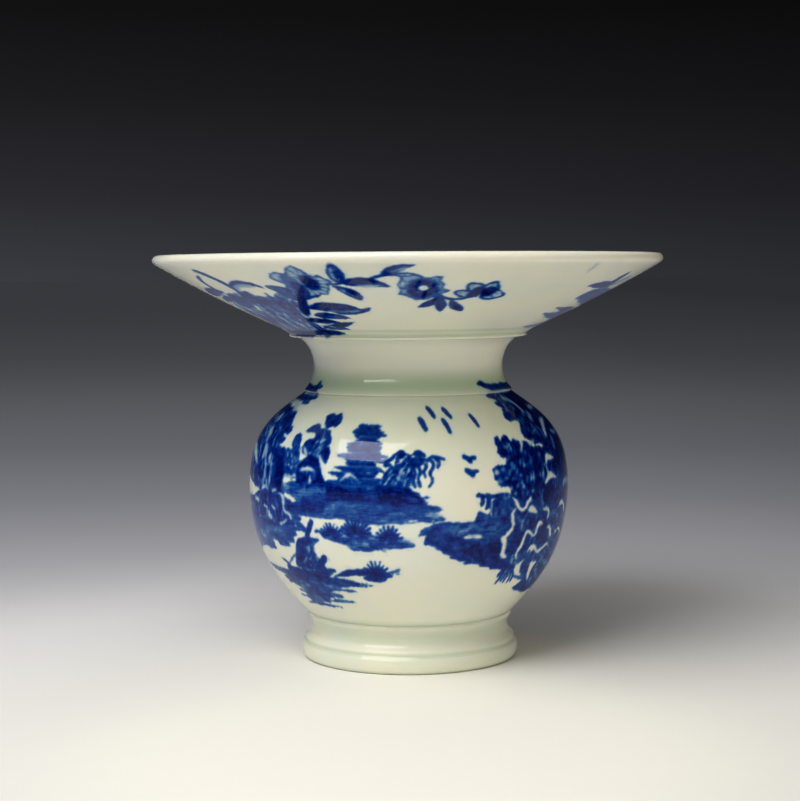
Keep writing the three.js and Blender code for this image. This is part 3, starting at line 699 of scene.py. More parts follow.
    for streak, width in ((((-64.8, 62.8), (-63.6, 61.4), (-62.4, 60.0)), 1.7),
            (((-61.8, 59.2), (-61, 57), (-60.9, 53.4)), 1.2), (((-57.4, 58.8), (-56.6, 56.6),
            (-57.4, 52.2)), 1.1), (((-60.6, 57.8), (-58, 58.2), (-55.6, 58.4)), 0.8),
            (((-69.4, 67.6), (-67.4, 66.4), (-65.6, 65.6)), 1.7), (((-72, 71.0), (-70.4, 70.4),
            (-68.6, 69.2)), 1.4), (((-67.4, 73.4), (-64, 72.6), (-61.4, 72.5)), 0.8),
            (((-66.4, 64.8), (-65.6, 62), (-65.2, 58.8)), 0.8), (((-73, 62.8), (-71, 62.2), (-68.4, 60.2)),
            0.9)):
        brush(sheet, streak, width, 0.26, tips=(0.5, 0.35), soft=0.8)
    brush(sheet, ((-90, 60.2), (-84, 61.6), (-79, 61.4), (-74, 59.7), (-69.4, 57.4)), 2.6, 0.16,
        tips=(1, 0.15), soft=1.0)
    brush(sheet, ((-92, 74.5), (-84, 74.6), (-74, 74.3), (-68, 73.8), (-63, 73.6)), 0.8, 0.2, soft=0.6)
    for spot, width in ((((-69.4, 47.8), (-66.6, 47.4)), 2.0), (((-61, 46.3), (-59, 46.0)), 1.4),
            (((-57.6, 45.2), (-57.6, 43.6), (-56.4, 43.2)), 1.1), (((-55.4, 46.6), (-53.8, 45.8)), 1.5),
            (((-50.2, 50.6), (-48.6, 49.8), (-48.4, 47.8), (-47.9, 46.0), (-45.6, 45.2), (-44.7, 44.2)),
            1.2), (((-51.4, 42.2), (-49.6, 42.4), (-47.0, 43.4)), 0.8), (((-54.4, 50.9), (-52.2, 51.5)),
            1.7), (((-62.6, 51.0), (-60, 51.8)), 1.5), (((-65.8, 43.0), (-63, 42.9)), 0.8),
            (((-84, 44.6), (-80.6, 45.2), (-78, 44.4)), 1.1)):
        brush(sheet, spot, width, 0.12, tips=(0.6, 0.6), soft=0.6)
    for streak in (((-60, 46.4), (-59, 44.4), (-58.6, 42.6)), ((-54, 45.6), (-53.4, 43.6), (-53.6, 42)),
            ((-62.4, 45.4), (-61.4, 43.6))):
        brush(sheet, streak, 0.5, thin, soft=0.6)
    brush(sheet, ((-54, 60), (-51.4, 58), (-50.6, 55), (-51.4, 52)), 3.2, deep, soft=1.4)


def paintSprays(sheet):
    deep, dark, middle, wash = 1.0, 0.94, 0.76, 0.58

    # Foliage at the root of the big spray: a mottled wash, combed with darker and paler strokes
    foliage = ((-75, 2), (-73, 11), (-70, 19), (-64, 23.5), (-60, 26.5), (-55, 27.6), (-50, 28.4),
        (-46, 27.4), (-42, 26), (-38, 26.6), (-36, 28), (-33, 26), (-33, 20), (-36, 13), (-37, 8), (-36, 3),
        (-42, 1.5), (-54, 1.1), (-66, 1.3))
    fill(sheet, foliage, 0.56, mottle=0.3, ragged=0.8)
    strew(sheet, foliage, 110, 7.0, 1.1, 82, (0.86, 0.8, 0.96), 51, soft=0.7)
    strew(sheet, foliage, 90, 5.0, 0.8, 78, (0.08, 0.26, 0.16), 52, soft=0.5, tips=(0.2, 0.2))
    strew(sheet, ((-60, 27), (-44, 27.4), (-37, 20), (-42, 8), (-60, 12)), 26, 4.6, 1.2, 60, (0.9, 0.84),
        53, soft=0.8)
    for patch in (((-58.6, 26), (-55, 26.4), (-54, 23), (-57.6, 21)), ((-49, 25), (-44, 25.4),
            (-42.6, 21.4), (-47.6, 20.6)), ((-41, 22), (-38, 21), (-38.6, 13), (-40.6, 15))):
        fill(sheet, patch, 0.88, soft=1.4, ragged=0.6)
    for ray in (((-57, 18.6), (-55.6, 15.4)), ((-52, 12), (-51.6, 8)), ((-43, 20), (-42, 16.6)),
            ((-47, 16), (-46, 12)), ((-36.6, 24), (-38.6, 20)), ((-35.6, 19), (-37.4, 15)),
            ((-62, 18), (-60.6, 14)), ((-46, 8), (-44.4, 4))):
        brush(sheet, ray, 1.1, 0.16, tips=(0.2, 0.2), soft=0.7)
    brush(sheet, ((-75, 2.2), (-60, 1.9), (-48, 2.2), (-38, 3.0), (-30, 2.4)), 1.9, deep, tips=(0.2, 0.3),
        ragged=0.4)

    # Leaves that reach out of it, on the left
    leaf(sheet, (-73, 26.6), (-57, 29), 4.4, 0.8, dark, pale=0.55, side=-1)
    leaf(sheet, (-70, 22.6), (-57.6, 25.6), 2.6, 0.4, middle)
    fill(sheet, ((-55.2, 40.4), (-58.4, 36.4), (-60.6, 32), (-59, 29), (-53.6, 28.6), (-50.4, 31),
        (-51.4, 36)), 0.04, ragged=0.4)
    brush(sheet, ((-57.2, 37.8), (-60, 35), (-61, 31.6), (-60.6, 29)), 1.5, dark, tips=(0.2, 0.8), soft=0.5)
    brush(sheet, ((-55.4, 40.9), (-53.2, 38.6), (-51.2, 34.8), (-50, 30.4)), 1.9, dark, tips=(0.15, 0.8),
        soft=0.5)
    brush(sheet, ((-56.8, 38), (-55.6, 40.6)), 0.5, wash)
    brush(sheet, ((-50, 29.8), (-48.4, 32.2), (-46, 33.8), (-43.2, 34), (-40.6, 33), (-38.2, 30.9)), 1.9,
        dark, tips=(0.7, 0.15))
    brush(sheet, ((-49.4, 29.4), (-47.6, 31.6), (-44.6, 32.2), (-41.4, 31.4)), 1.9, 0.32, tips=(0.4, 0.2),
        soft=0.8)
    fill(sheet, ((-37.2, 31.8), (-34.8, 32.2), (-31.2, 30.8), (-30.8, 27), (-32.2, 23.2), (-34.6, 26.4),
        (-35.8, 29.2)), 0.66, edge=0.86, edgeWidth=0.7, mottle=0.2)

    # Big flower: joined, jagged petals, rayed from a dark double centre
    fill(sheet, ((-32.8, 36.4), (-31.6, 38.7), (-29.6, 39.6), (-27.8, 38.4), (-26.7, 40.9), (-24.6, 42.9),
        (-23.3, 41.0), (-22.5, 39.4), (-21.6, 37.0), (-20.1, 37.8), (-18.9, 36.2), (-17.6, 34.4),
        (-18.9, 32.2), (-19.6, 29.6), (-20.9, 27.0), (-22.7, 27.3), (-24.3, 25.7), (-27, 24.9),
        (-29.8, 23.4), (-30, 27), (-31.2, 30.4), (-30.4, 33), (-31.8, 34.6)), 0.22, edge=0.8, edgeWidth=0.5,
        sharp=True)
    fill(sheet, ((-29.8, 37.6), (-27.4, 38), (-25.8, 35), (-26.6, 31.6), (-30.2, 29.4), (-30.4, 33)), 0.52,
        soft=0.6)
    for ray in (((-25, 36), (-27.8, 38.4)), ((-24.6, 37), (-26.0, 40.6)), ((-24, 37.2), (-24.2, 41.6)),
            ((-23.4, 37), (-22.8, 40.2)), ((-22.4, 36.4), (-21.3, 38)), ((-22, 35.8), (-19.8, 36.8)),
            ((-22, 34.6), (-18.4, 34.9)), ((-21.8, 33), (-18.8, 32.8)), ((-21.8, 31.8), (-19.6, 30.4)),
            ((-22.4, 30.6), (-20.6, 28.2)), ((-23.4, 30), (-22.4, 27.4)), ((-24.6, 30), (-24.4, 26.4)),
            ((-28.4, 34), (-31.8, 35.6)), ((-28, 35.6), (-31.6, 37.6)), ((-28.4, 31.4), (-30.8, 31.2)),
            ((-28.8, 27.6), (-29.8, 24.6)), ((-26.6, 27), (-26.6, 25.2))):
        brush(sheet, ray, 0.52, 0.76, tips=(1, 0.3))
    fill(sheet, ((-24.9, 36.8), (-23.3, 37.9), (-22.2, 36.8), (-21.1, 34.6), (-21.6, 31.8), (-22.8, 29.9),
        (-24.5, 30.2), (-25.2, 33)), deep, ragged=0.4)
    fill(sheet, ((-28.1, 33.6), (-26.4, 33.2), (-25.4, 30), (-26.2, 26.8), (-28.4, 25.8), (-29, 29.4)),
        0.96, ragged=0.4)
    brush(sheet, ((-25.6, 35.4), (-25.6, 34.2)), 0.9, 0.08, soft=0.4)
    brush(sheet, ((-25, 29.2), (-24.8, 27.6)), 0.8, 0.14, soft=0.4)
    brush(sheet, ((-20.4, 35.8), (-19.6, 34.2)), 0.8, 0.1, soft=0.4)
    brush(sheet, ((-29.8, 24), (-26.6, 25.7), (-23.4, 26.6)), 0.8, dark)

    # Dark stem and the leaves that point right, under the flower
    brush(sheet, ((-29.2, 29), (-29.8, 25.6), (-31.6, 21.6), (-33.6, 17.8), (-35.2, 15)), 2.8, deep,
        tips=(0.3, 0.5))
    fill(sheet, ((-31.6, 18.9), (-29, 21.1), (-25.4, 22.5), (-20.4, 22.0), (-17, 20.9), (-14.8, 18.9),
        (-13.4, 18.6), (-11.2, 19.4), (-12.2, 17.2), (-14.6, 16.1), (-17.4, 15.1), (-22, 15.3), (-25, 16.8),
        (-29.4, 17.9)), dark)
    brush(sheet, ((-25.6, 17.6), (-22, 17.0), (-17.4, 17.0), (-14.6, 17.6)), 1.3, 0.3, tips=(0.2, 0.3),
        soft=0.5)
    brush(sheet, ((-28, 20.2), (-22, 19.6), (-16, 18.9)), 0.4, 0.68)
    leaf(sheet, (-32.8, 14.3), (-19.6, 12.6), 4.0, 0.7, deep, pale=0.7, side=-1)
    leaf(sheet, (-39, 11.2), (-25.0, 9.8), 3.8, 0.4, deep)
    leaf(sheet, (-31, 7.6), (-19.2, 10.3), 2.8, -0.7, deep)
    leaf(sheet, (-36, 6.4), (-24.2, 4.9), 3.4, 0.6, deep, pale=0.7, side=-1)
    leaf(sheet, (-43, 2.8), (-28, 2.3), 3.2, 0.5, deep)
    brush(sheet, ((-37, 7.2), (-33, 7.4), (-30, 6.6)), 0.7, 0.3, tips=(0.2, 0.2), soft=0.5)
    brush(sheet, ((-34.8, 12.9), (-32.6, 12.9), (-30.8, 12.2)), 0.9, 0.1, tips=(0.2, 0.3), soft=0.4)
    brush(sheet, ((-32.0, 17.0), (-29.8, 16.9), (-27.6, 17.3)), 1.2, 0.02, tips=(0.3, 0.2), soft=0.4)

    # Node right of the flower, with three leaves
    brush(sheet, ((-19.4, 32.8), (-17, 32.9), (-15, 33.6)), 1.0, dark)
    leaf(sheet, (-16, 33.2), (-15.7, 44.4), 3.9, -0.15, dark)
    brush(sheet, ((-16.5, 35.2), (-16.6, 38.4), (-16.0, 42)), 1.0, 0.25, tips=(0.3, 0.2), soft=0.4)
    leaf(sheet, (-15.8, 33.6), (-3.9, 31.2), 5.0, 1.3, dark)
    brush(sheet, ((-12.4, 31.9), (-9.4, 31.7), (-6.2, 32.1)), 1.3, 0.26, tips=(0.2, 0.3), soft=0.45)
    leaf(sheet, (-12.4, 23.7), (-18.4, 32.4), 3.9, -0.8, dark)
    brush(sheet, ((-16.8, 30.2), (-15.4, 28), (-13.7, 25.8)), 0.9, 0.36, tips=(0.2, 0.3), soft=0.4)

    # Stem over to the second flower, with its leaf
    brush(sheet, ((-8.8, 35.0), (-7.4, 36.4), (-5.2, 37.4), (-2.6, 37.4), (-0.8, 36.4)), 0.9, 0.86)
    brush(sheet, ((-5.2, 37.6), (-2.4, 38.2), (0.4, 38.2), (2.4, 37.2), (4.2, 35.4)), 0.8, 0.82)
    leaf(sheet, (-5.6, 37.2), (1.6, 42.6), 3.2, 0.9, dark)
    brush(sheet, ((-3.8, 38.8), (-1.8, 40.2), (0, 41.5)), 1.1, 0.36, tips=(0.2, 0.2), soft=0.4)

    # Second flower: jagged outlined petals round a dark ring
    fill(sheet, ((-2.5, 26.9), (-0.6, 26.5), (0.4, 25.2), (2.6, 23.9), (4.8, 24), (6.4, 25.2), (8.4, 25.2),
        (8.5, 27.0), (10.5, 29.1), (8.7, 30.4), (8.7, 32.6), (7.6, 34.4), (7.9, 36.7), (6.0, 36.9),
        (5.0, 35.8), (3.4, 36.4), (1.6, 37.7), (-1.5, 37.2), (-1.7, 34.6), (-2.5, 32.4), (-1.8, 30)), 0.26,
        edge=0.76, edgeWidth=0.5, sharp=True)
    fill(sheet, ((-0.4, 32), (1.0, 34.8), (3.6, 35.4), (6.4, 34.4), (7.9, 31.4), (8.0, 28), (6.0, 24.9),
        (3.2, 23.8), (0.8, 25.2), (-0.4, 28.4)), 0.6, ragged=0.7)
    for line in (((-1.6, 35.8), (-0.2, 33.6)), ((0.4, 37.2), (1.2, 35)), ((4.6, 36.2), (4.4, 34.4)),
            ((6.6, 36.4), (6.0, 34.2)), ((-2, 30.4), (-0.2, 30.6)), ((8.6, 31), (7.4, 30.4)),
            ((9.6, 29), (7.8, 28.8)), ((-1.4, 27.2), (0.4, 28.2)), ((7.6, 25.6), (6.4, 26.8))):
        brush(sheet, line, 0.5, 0.74)
    fill(sheet, ((0.3, 32), (1.4, 33.9), (3.6, 34.6), (6, 33.6), (7.1, 31.4), (7.2, 28.4), (5.6, 26),
        (3.4, 25.2), (1.4, 26.2), (0.2, 28.4)), 0.97, ragged=0.5)
    dabs(sheet, ((3.8, 30.6), (4.0, 30.2)), 2.3, 0.0, soft=0.5)
    dabs(sheet, ((2.6, 28.2),), 0.9, 0.36, soft=0.5)
    brush(sheet, ((-1.1, 35.2), (-1.0, 32.2)), 0.7, 0.1, soft=0.4)
    brush(sheet, ((0.4, 36.6), (2.4, 36.4)), 0.7, 0.1, soft=0.4)

    # Leaves and stem below it
    leaf(sheet, (2.9, 19.5), (8.9, 26.2), 3.0, -0.9, dark)
    leaf(sheet, (10.2, 16.6), (9.2, 25.6), 3.2, 0.3, dark)
    leaf(sheet, (17.2, 16.8), (11.8, 23.6), 3.2, 0.5, dark)
    brush(sheet, ((9.4, 23), (10, 20.6), (9.8, 18.6)), 0.7, 0.66, soft=0.5)
    brush(sheet, ((8.2, 26.8), (10, 25.0), (12.6, 24.1), (15, 24.4), (17.6, 25.8)), 0.95, dark,
        tips=(0.8, 0.8))

    # Third flower, seen from the side
    for petal in (((16, 24.6), (13.6, 25.6), (11.9, 27.6), (12.4, 29.0), (14.4, 29.4), (16.6, 28)),
            ((15, 28.6), (14.2, 31.4), (14.6, 33.3), (16.4, 33.2), (18.4, 32.6), (19, 30), (17.6, 28)),
            ((18.6, 30), (18.9, 32.4), (20.8, 34.0), (21.9, 33.2), (23.3, 30.0), (22, 28.4)),
            ((22.2, 29.8), (23.8, 29.2), (26.3, 26.6), (25.6, 24.9), (22.8, 23.6), (20.2, 24.3),
            (19.2, 26.2))):
        fill(sheet, petal, 0.2, edge=0.93, edgeWidth=0.75)
    for ray in (((16.6, 26.8), (13.4, 27.8)), ((16.8, 29), (15.6, 32.2)), ((18, 29.4), (17.2, 32.6)),
            ((20.6, 30.4), (20.6, 32.8)), ((21.8, 30.2), (22.2, 31.6)), ((23, 27.6), (25.2, 26.4)),
            ((22.4, 26.2), (23.4, 24.6))):
        brush(sheet, ray, 0.6, 0.86)
    fill(sheet, ((19.2, 26), (19, 28.6), (20.2, 31), (22.2, 30.4), (22.9, 28), (21.8, 25.8), (20.4, 25.2)),
        deep)
    fill(sheet, ((15.8, 25.0), (15.9, 27.8), (16.8, 30.6), (18.6, 31), (19.4, 28), (18.6, 25.4)), 0.93,
        ragged=0.4)
    brush(sheet, ((23.4, 28.4), (24.8, 27), (24.4, 25.4)), 0.8, 0.08, soft=0.4)
    brush(sheet, ((14.0, 28), (15.2, 26.6)), 0.7, 0.16, soft=0.4)
    brush(sheet, ((16.2, 32.2), (17.6, 31.8)), 0.6, 0.16, soft=0.4)

    # A stray touch of blue
    brush(sheet, ((43.4, 43.4), (44.0, 41.6), (43.8, 38.6)), 0.8, 0.26, soft=0.7)

    # The next spray, whose ends show at the right
    leaf(sheet, (64.6, 30.2), (52.4, 30.9), 3.8, -0.9, dark, pale=0.74, side=-1)
    leaf(sheet, (63.6, 29.4), (63.4, 38.8), 3.4, 0.2, dark)
    leaf(sheet, (65, 30), (70, 37), 3.4, -0.5, 0.4, pale=0.2)
    massed = ((57.2, 24.4), (59.6, 28.4), (64, 29.4), (72, 29), (84, 28), (98, 29), (99, 19), (84, 18.4),
        (72, 19.4), (64, 21.6), (59.6, 22.8))
    fill(sheet, massed, middle, mottle=0.2, ragged=0.8)
    fill(sheet, ((54, 14.4), (60, 14.8), (66, 15.6), (80, 16), (98, 15), (98, 7), (80, 8.4), (66, 10.6),
        (58, 12.8)), 0.7, mottle=0.2, ragged=0.8)
    strew(sheet, massed, 22, 5.0, 1.2, 12, (deep, 0.5), 54, soft=0.6)
    leaf(sheet, (74, 16.8), (55.0, 17.9), 2.4, 0.6, dark)
    leaf(sheet, (76, 11.4), (53.6, 14.5), 2.8, 0.6, dark, pale=0.5, side=-1)
    leaf(sheet, (78, 7), (57, 5.4), 3.2, 0.6, 0.42)
    for root, tip, width, bend, tone in (((78, 27), (86, 35), 4.0, 0.8, middle),
            ((82, 26), (94, 33), 4.2, 0.8, dark), ((80, 24), (82, 16), 4.0, 0.8, deep),
            ((86, 24), (94, 15), 4.2, -0.8, dark), ((80, 5), (98, 4), 3.6, 0.6, dark)):
        leaf(sheet, root, tip, width, bend, tone, pale=0.4, side=-1)


# Materials
def colour(hexText):
    # A colour as written on screen, turned to the linear light that nodes use
    parts = [int(hexText[i:i + 2], 16) / 255 for i in (1, 3, 5)]
    return (*(p / 12.92 if p <= 0.04045 else ((p + 0.055) / 1.055) ** 2.4 for p in parts), 1.0)


def addNode(tree, kind, inputs=None, stops=None, **settings):
    node = tree.nodes.new(kind)
    for name, value in settings.items():
        setattr(node, name, value)
    for key, value in (inputs or {}).items():
        if isinstance(value, bpy.types.NodeSocket):
            tree.links.new(value, node.inputs[key])
        else:
            node.inputs[key].default_value = value
    if stops:
        ramp = node.color_ramp.elements
        while len(ramp) < len(stops):
            ramp.new(0.5)
        for element, (position, value) in zip(ramp, stops):
            element.position = position
            element.color = value if isinstance(value, tuple) else (value, value, value, 1)
    return node


# Soft-paste porcelain under a lead glaze: a wet, slightly green gloss that softens the cobalt beneath it
porcelainLook = {
    "inks": ((0.0, "#ebebdc"), (0.1, "#d9e0db"), (0.3, "#7f9fc0"), (0.5, "#2f62a3"), (0.7, "#0b3c90"),
             (0.88, "#032177"), (1.0, "#000c50")),  # from bare glaze to the thickest cobalt
    "pooledGlazeAndShade": "#c3d7c4",  # where glaze lies thick and greener, and painted shade in grooves, creases, under the rim and at the foot's contact
    "thin": "#fdfae9",  # where it breaks thin over an edge and pales, and painted highlight on the lip, ledge, beads and ridge
    "clouds": (40, "#fffdf4", "#f4f8fa"),  # scale, warm and cool
    "paste": "#cdbfa4",  # bare fired clay of the foot's rest
    "speck": "#5b4a38",
    "speckScale": 150,  # 1/m, so about one cell in 7 mm
    "speckChance": 0.07,  # share of the cells with a speck
    "speckEdge": (0.035, 0.015),  # where its colour starts and is full, in cells from its middle
    "speckDepth": 0.75,
    "gloss": 0.035,  # roughness of the glaze
    "dull": 0.7,  # roughness of the bare rest
    "ior": 1.52,
    "specular": 0.16,
    "streaks": (330, 5.5),  # scale of the wash's streaks, and how flat they lie
    "streakDepth": 0.85,
    "blotches": 520,
    "blotchDepth": 0.75,
    "ringSpacing": 5,  # mm between turning marks
    "ringShare": 0.25,
    "swell": 130,  # scale of the glaze's undulation
    "relief": 0.05,  # mm
}


def makePorcelain(look):
    material = bpy.data.materials.new("leadGlazedPorcelain")
    material.use_nodes = True
    tree = material.node_tree
    shader = tree.nodes["Principled BSDF"]
    place = addNode(tree, "ShaderNodeTexCoord").outputs["Object"]
    printed = addNode(tree, "ShaderNodeAttribute", attribute_name="print").outputs["Color"]
    glaze = addNode(tree, "ShaderNodeAttribute", attribute_name="glaze").outputs["Color"]
    ink = addNode(tree, "ShaderNodeSeparateColor", {"Color": printed})
    # Its channels: pooled glaze with painted shade, thin glaze with painted highlight, and the wiped rest
    tintsAndPaintedLight = addNode(tree, "ShaderNodeSeparateColor", {"Color": glaze})

    # Washes are streaked along the water, and all the cobalt spreads in blotches
    streakScale, flatness = look["streaks"]
    flattened = addNode(tree, "ShaderNodeVectorMath", {0: place, 1: (1, 1, flatness)}, operation="MULTIPLY")
    streaks = addNode(tree, "ShaderNodeTexNoise",
                      {"Vector": flattened.outputs[0], "Scale": streakScale, "Detail": 2.0})
    streaky = addNode(tree, "ShaderNodeMath", {0: streaks.outputs["Fac"], 1: 0.5}, operation="SUBTRACT")
    washed = addNode(tree, "ShaderNodeMath", {0: streaky.outputs[0], 1: ink.outputs["Green"]},
                     operation="MULTIPLY")
    streaked = addNode(tree, "ShaderNodeMath", {0: washed.outputs[0], 1: look["streakDepth"], 2: 1.0},
                       operation="MULTIPLY_ADD")
    blotches = addNode(tree, "ShaderNodeTexNoise",
                       {"Vector": place, "Scale": look["blotches"], "Detail": 4.0, "Roughness": 0.65})
    least = 1 - look["blotchDepth"] / 2
    uneven = addNode(tree, "ShaderNodeMath", {0: blotches.outputs["Fac"], 1: look["blotchDepth"], 2: least},
                     operation="MULTIPLY_ADD")
    strength = addNode(tree, "ShaderNodeMath", {0: streaked.outputs[0], 1: uneven.outputs[0]},
                       operation="MULTIPLY")
    tone = addNode(tree, "ShaderNodeMath", {0: ink.outputs["Red"], 1: strength.outputs[0]},
                   operation="MULTIPLY")
    inked = addNode(tree, "ShaderNodeValToRGB", {"Fac": tone.outputs[0]},
                    stops=[(at, colour(text)) for at, text in look["inks"]])

    # Glaze: cloudy over a few centimetres, greener where it pools; its pooled tint also paints shade and its
    # thin tint paints highlights
    cloudScale, warm, cool = look["clouds"]
    cloud = addNode(tree, "ShaderNodeTexNoise", {"Vector": place, "Scale": cloudScale, "Detail": 2.0})
    cloudy = addNode(tree, "ShaderNodeValToRGB", {"Fac": cloud.outputs["Fac"]},
                     stops=[(0.3, colour(warm)), (0.7, colour(cool))])
    tinted = addNode(tree, "ShaderNodeMix", {0: 1.0, 6: inked.outputs["Color"], 7: cloudy.outputs["Color"]},
                     data_type="RGBA", blend_type="MULTIPLY")
    # Pooled tint: greener thick glaze, and painted shade in grooves, under the rim, over the globe's shoulder
    # and at the foot's contact
    pooledGlazeAndShade = addNode(tree, "ShaderNodeMix",
                     {0: tintsAndPaintedLight.outputs["Red"], 6: tinted.outputs[2], 7: colour(look["pooledGlazeAndShade"])},
                     data_type="RGBA", blend_type="MULTIPLY")
    # Thin tint: paler glaze over edges, and painted highlight on the lip, ledge, beads and ridge
    thinGlazeAndHighlight = addNode(tree, "ShaderNodeMix",
                     {0: tintsAndPaintedLight.outputs["Green"], 6: pooledGlazeAndShade.outputs[2], 7: colour(look["thin"])},
                     data_type="RGBA")

    # Iron specks: a few dots about 0.3 mm across
    spots = addNode(tree, "ShaderNodeTexVoronoi", {"Vector": place, "Scale": look["speckScale"]})
    chance = addNode(tree, "ShaderNodeSeparateColor", {"Color": spots.outputs["Color"]})
    rare = addNode(tree, "ShaderNodeMath", {0: chance.outputs["Red"], 1: 1 - look["speckChance"]},
                   operation="GREATER_THAN")
    outer, inner = look["speckEdge"]
    dot = addNode(tree, "ShaderNodeMapRange",
                  {"Value": spots.outputs["Distance"], "From Min": outer, "From Max": inner,
                   "To Min": 0.0, "To Max": look["speckDepth"]})
    speck = addNode(tree, "ShaderNodeMath", {0: rare.outputs[0], 1: dot.outputs[0]}, operation="MULTIPLY")
    specked = addNode(tree, "ShaderNodeMix",
                      {0: speck.outputs[0], 6: thinGlazeAndHighlight.outputs[2], 7: colour(look["speck"])},
                      data_type="RGBA")
    bared = addNode(tree, "ShaderNodeMix",
                    {0: tintsAndPaintedLight.outputs["Blue"], 6: specked.outputs[2], 7: colour(look["paste"])},
                    data_type="RGBA")
    tree.links.new(bared.outputs[2], shader.inputs["Base Color"])

    dulled = addNode(tree, "ShaderNodeMapRange",
                     {"Value": tintsAndPaintedLight.outputs["Blue"], "To Min": look["gloss"], "To Max": look["dull"]})
    tree.links.new(dulled.outputs[0], shader.inputs["Roughness"])
    shader.inputs["IOR"].default_value = look["ior"]
    shader.inputs["Specular IOR Level"].default_value = look["specular"]

    # Slow undulation of the glaze, and the fine rings that turning left
    ringScale = math.pi / 10 / (look["ringSpacing"] * mm)  # a wave of scale 1 is pi / 10 long
    rings = addNode(tree, "ShaderNodeTexWave",
                    {"Vector": place, "Scale": ringScale, "Distortion": 3.0, "Detail": 1.0,
                     "Detail Scale": 0.5}, wave_type="BANDS", bands_direction="Z")
    swell = addNode(tree, "ShaderNodeTexNoise",
                    {"Vector": place, "Scale": look["swell"], "Detail": 2.0, "Roughness": 0.4})
    relief = addNode(tree, "ShaderNodeMath",
                     {0: rings.outputs["Fac"], 1: look["ringShare"], 2: swell.outputs["Fac"]},
                     operation="MULTIPLY_ADD")
    bump = addNode(tree, "ShaderNodeBump",
                   {"Height": relief.outputs[0], "Strength": 1.0, "Distance": look["relief"] * mm})
    tree.links.new(bump.outputs["Normal"], shader.inputs["Normal"])
    return material


porcelain = makePorcelain(porcelainLook)
print("porcelain mixed")


# The two prints: a landscape for the globe and neck, and flower sprays for the underside of the rim
def finishPrint(sheet, paint, blur, bleed, share):
    # The cobalt softens at its edges, and a share of it bleeds further into the glaze; radii in mm
    paint(sheet)
    near = soften(sheet["tone"], sheet["cell"], blur)
    sheet["print"] = near + (soften(sheet["tone"], sheet["cell"], bleed) - near) * share
    sheet["lines"] = soften(sheet["hatch"], sheet["cell"], radius=0.5)
    return sheet


landscape = finishPrint(newPrint(radius=46, low=13, high=93, seed=5), paintLandscape,
                        blur=0.18, bleed=0.7, share=0.16)
sprays = finishPrint(newPrint(radius=60, low=0, high=46, seed=9), paintSprays,
                     blur=0.24, bleed=0.75, share=0.22)
print("prints painted")


def sampled(sheet, layer, degrees, up):
    # A layer's values at these places, blended between its cells
    values = sheet[layer]
    rows, columns = values.shape
    x = ((degrees + 90) * sheet["perDegree"] / sheet["cell"] - 0.5) % columns
    y = np.clip((up - sheet["low"]) / sheet["cell"] - 0.5, 0, rows - 1.001)  # short of the last row
    x0, y0 = x.astype(int), y.astype(int)
    fx, fy = x - x0, y - y0
    x0, x1 = x0 % columns, (x0 + 1) % columns
    return ((values[y0, x0] * (1 - fx) + values[y0, x1] * fx) * (1 - fy)
            + (values[y0 + 1, x0] * (1 - fx) + values[y0 + 1, x1] * fx) * fy)


def contrastWithin(sheet, reach):
    # How much the print's tone changes within this many millimetres
    steps = max(1, round(reach / sheet["cell"]))
    high = low = sheet["print"]
    for axis in (0, 1):
        high = np.max([np.roll(high, shift, axis=axis) for shift in range(-steps, steps + 1)], axis=0)
        low = np.min([np.roll(low, shift, axis=axis) for shift in range(-steps, steps + 1)], axis=0)
    return high - low


# Turned sections
touching = 0.01  # mm, within which two places count as one, and a vertex as on the wall


def turnSection(parts, turns):
    # Spins a closed outline round the axis. Each vertex remembers how far along the outline it is
    apart = 0.001  # mm along the outline, from one part's end to the next one's start
    fineLine, fineFar, keptLine, keptFar = [], [], [], []
    start = 0.0
    for fine, longest in parts:
        far = arcLength(fine) + start
        kept = thinned(fine, longest)
        fineLine.append(fine)
        fineFar.append(far)
        first = 1 if keptLine and math.hypot(*(keptLine[-1] - fine[0])) < touching else 0
        keptLine += [fine[i] for i in kept[first:]]
        keptFar += [far[i] for i in kept[first:]]
        start = far[-1] + apart
    keptLine.pop()
    keptFar.pop()
    bm = bmesh.new()
    farLayer = bm.verts.layers.float.new("far")
    ring = [bm.verts.new((radius, 0, height)) for radius, height in keptLine]
    for v, far in zip(ring, keptFar):
        v[farLayer] = far
    edges = [bm.edges.new(pair) for pair in zip(ring, ring[1:] + ring[:1])
             if max(v.co.x for v in pair) > touching]
    bmesh.ops.spin(bm, geom=ring + edges, cent=(0, 0, 0), axis=(0, 0, 1), angle=2 * math.pi,
                   steps=turns, use_merge=True, use_duplicate=False)
    bmesh.ops.remove_doubles(bm, verts=bm.verts, dist=0.004)
    bmesh.ops.recalc_face_normals(bm, faces=bm.faces)
    outline = {"far": np.concatenate(fineFar), "line": np.vstack(fineLine), "wallEnd": fineFar[0][-1]}
    return bm, outline


def surveyed(bm):
    # Place of every vertex: degrees from the front, radius, height, and distance along the outline
    farLayer = bm.verts.layers.float["far"]
    table = np.array([(*v.co, v[farLayer]) for v in bm.verts])
    x, y, height, far = table.T
    return {"degrees": np.degrees(np.arctan2(x, -y)), "radius": np.hypot(x, y), "height": height, "far": far}


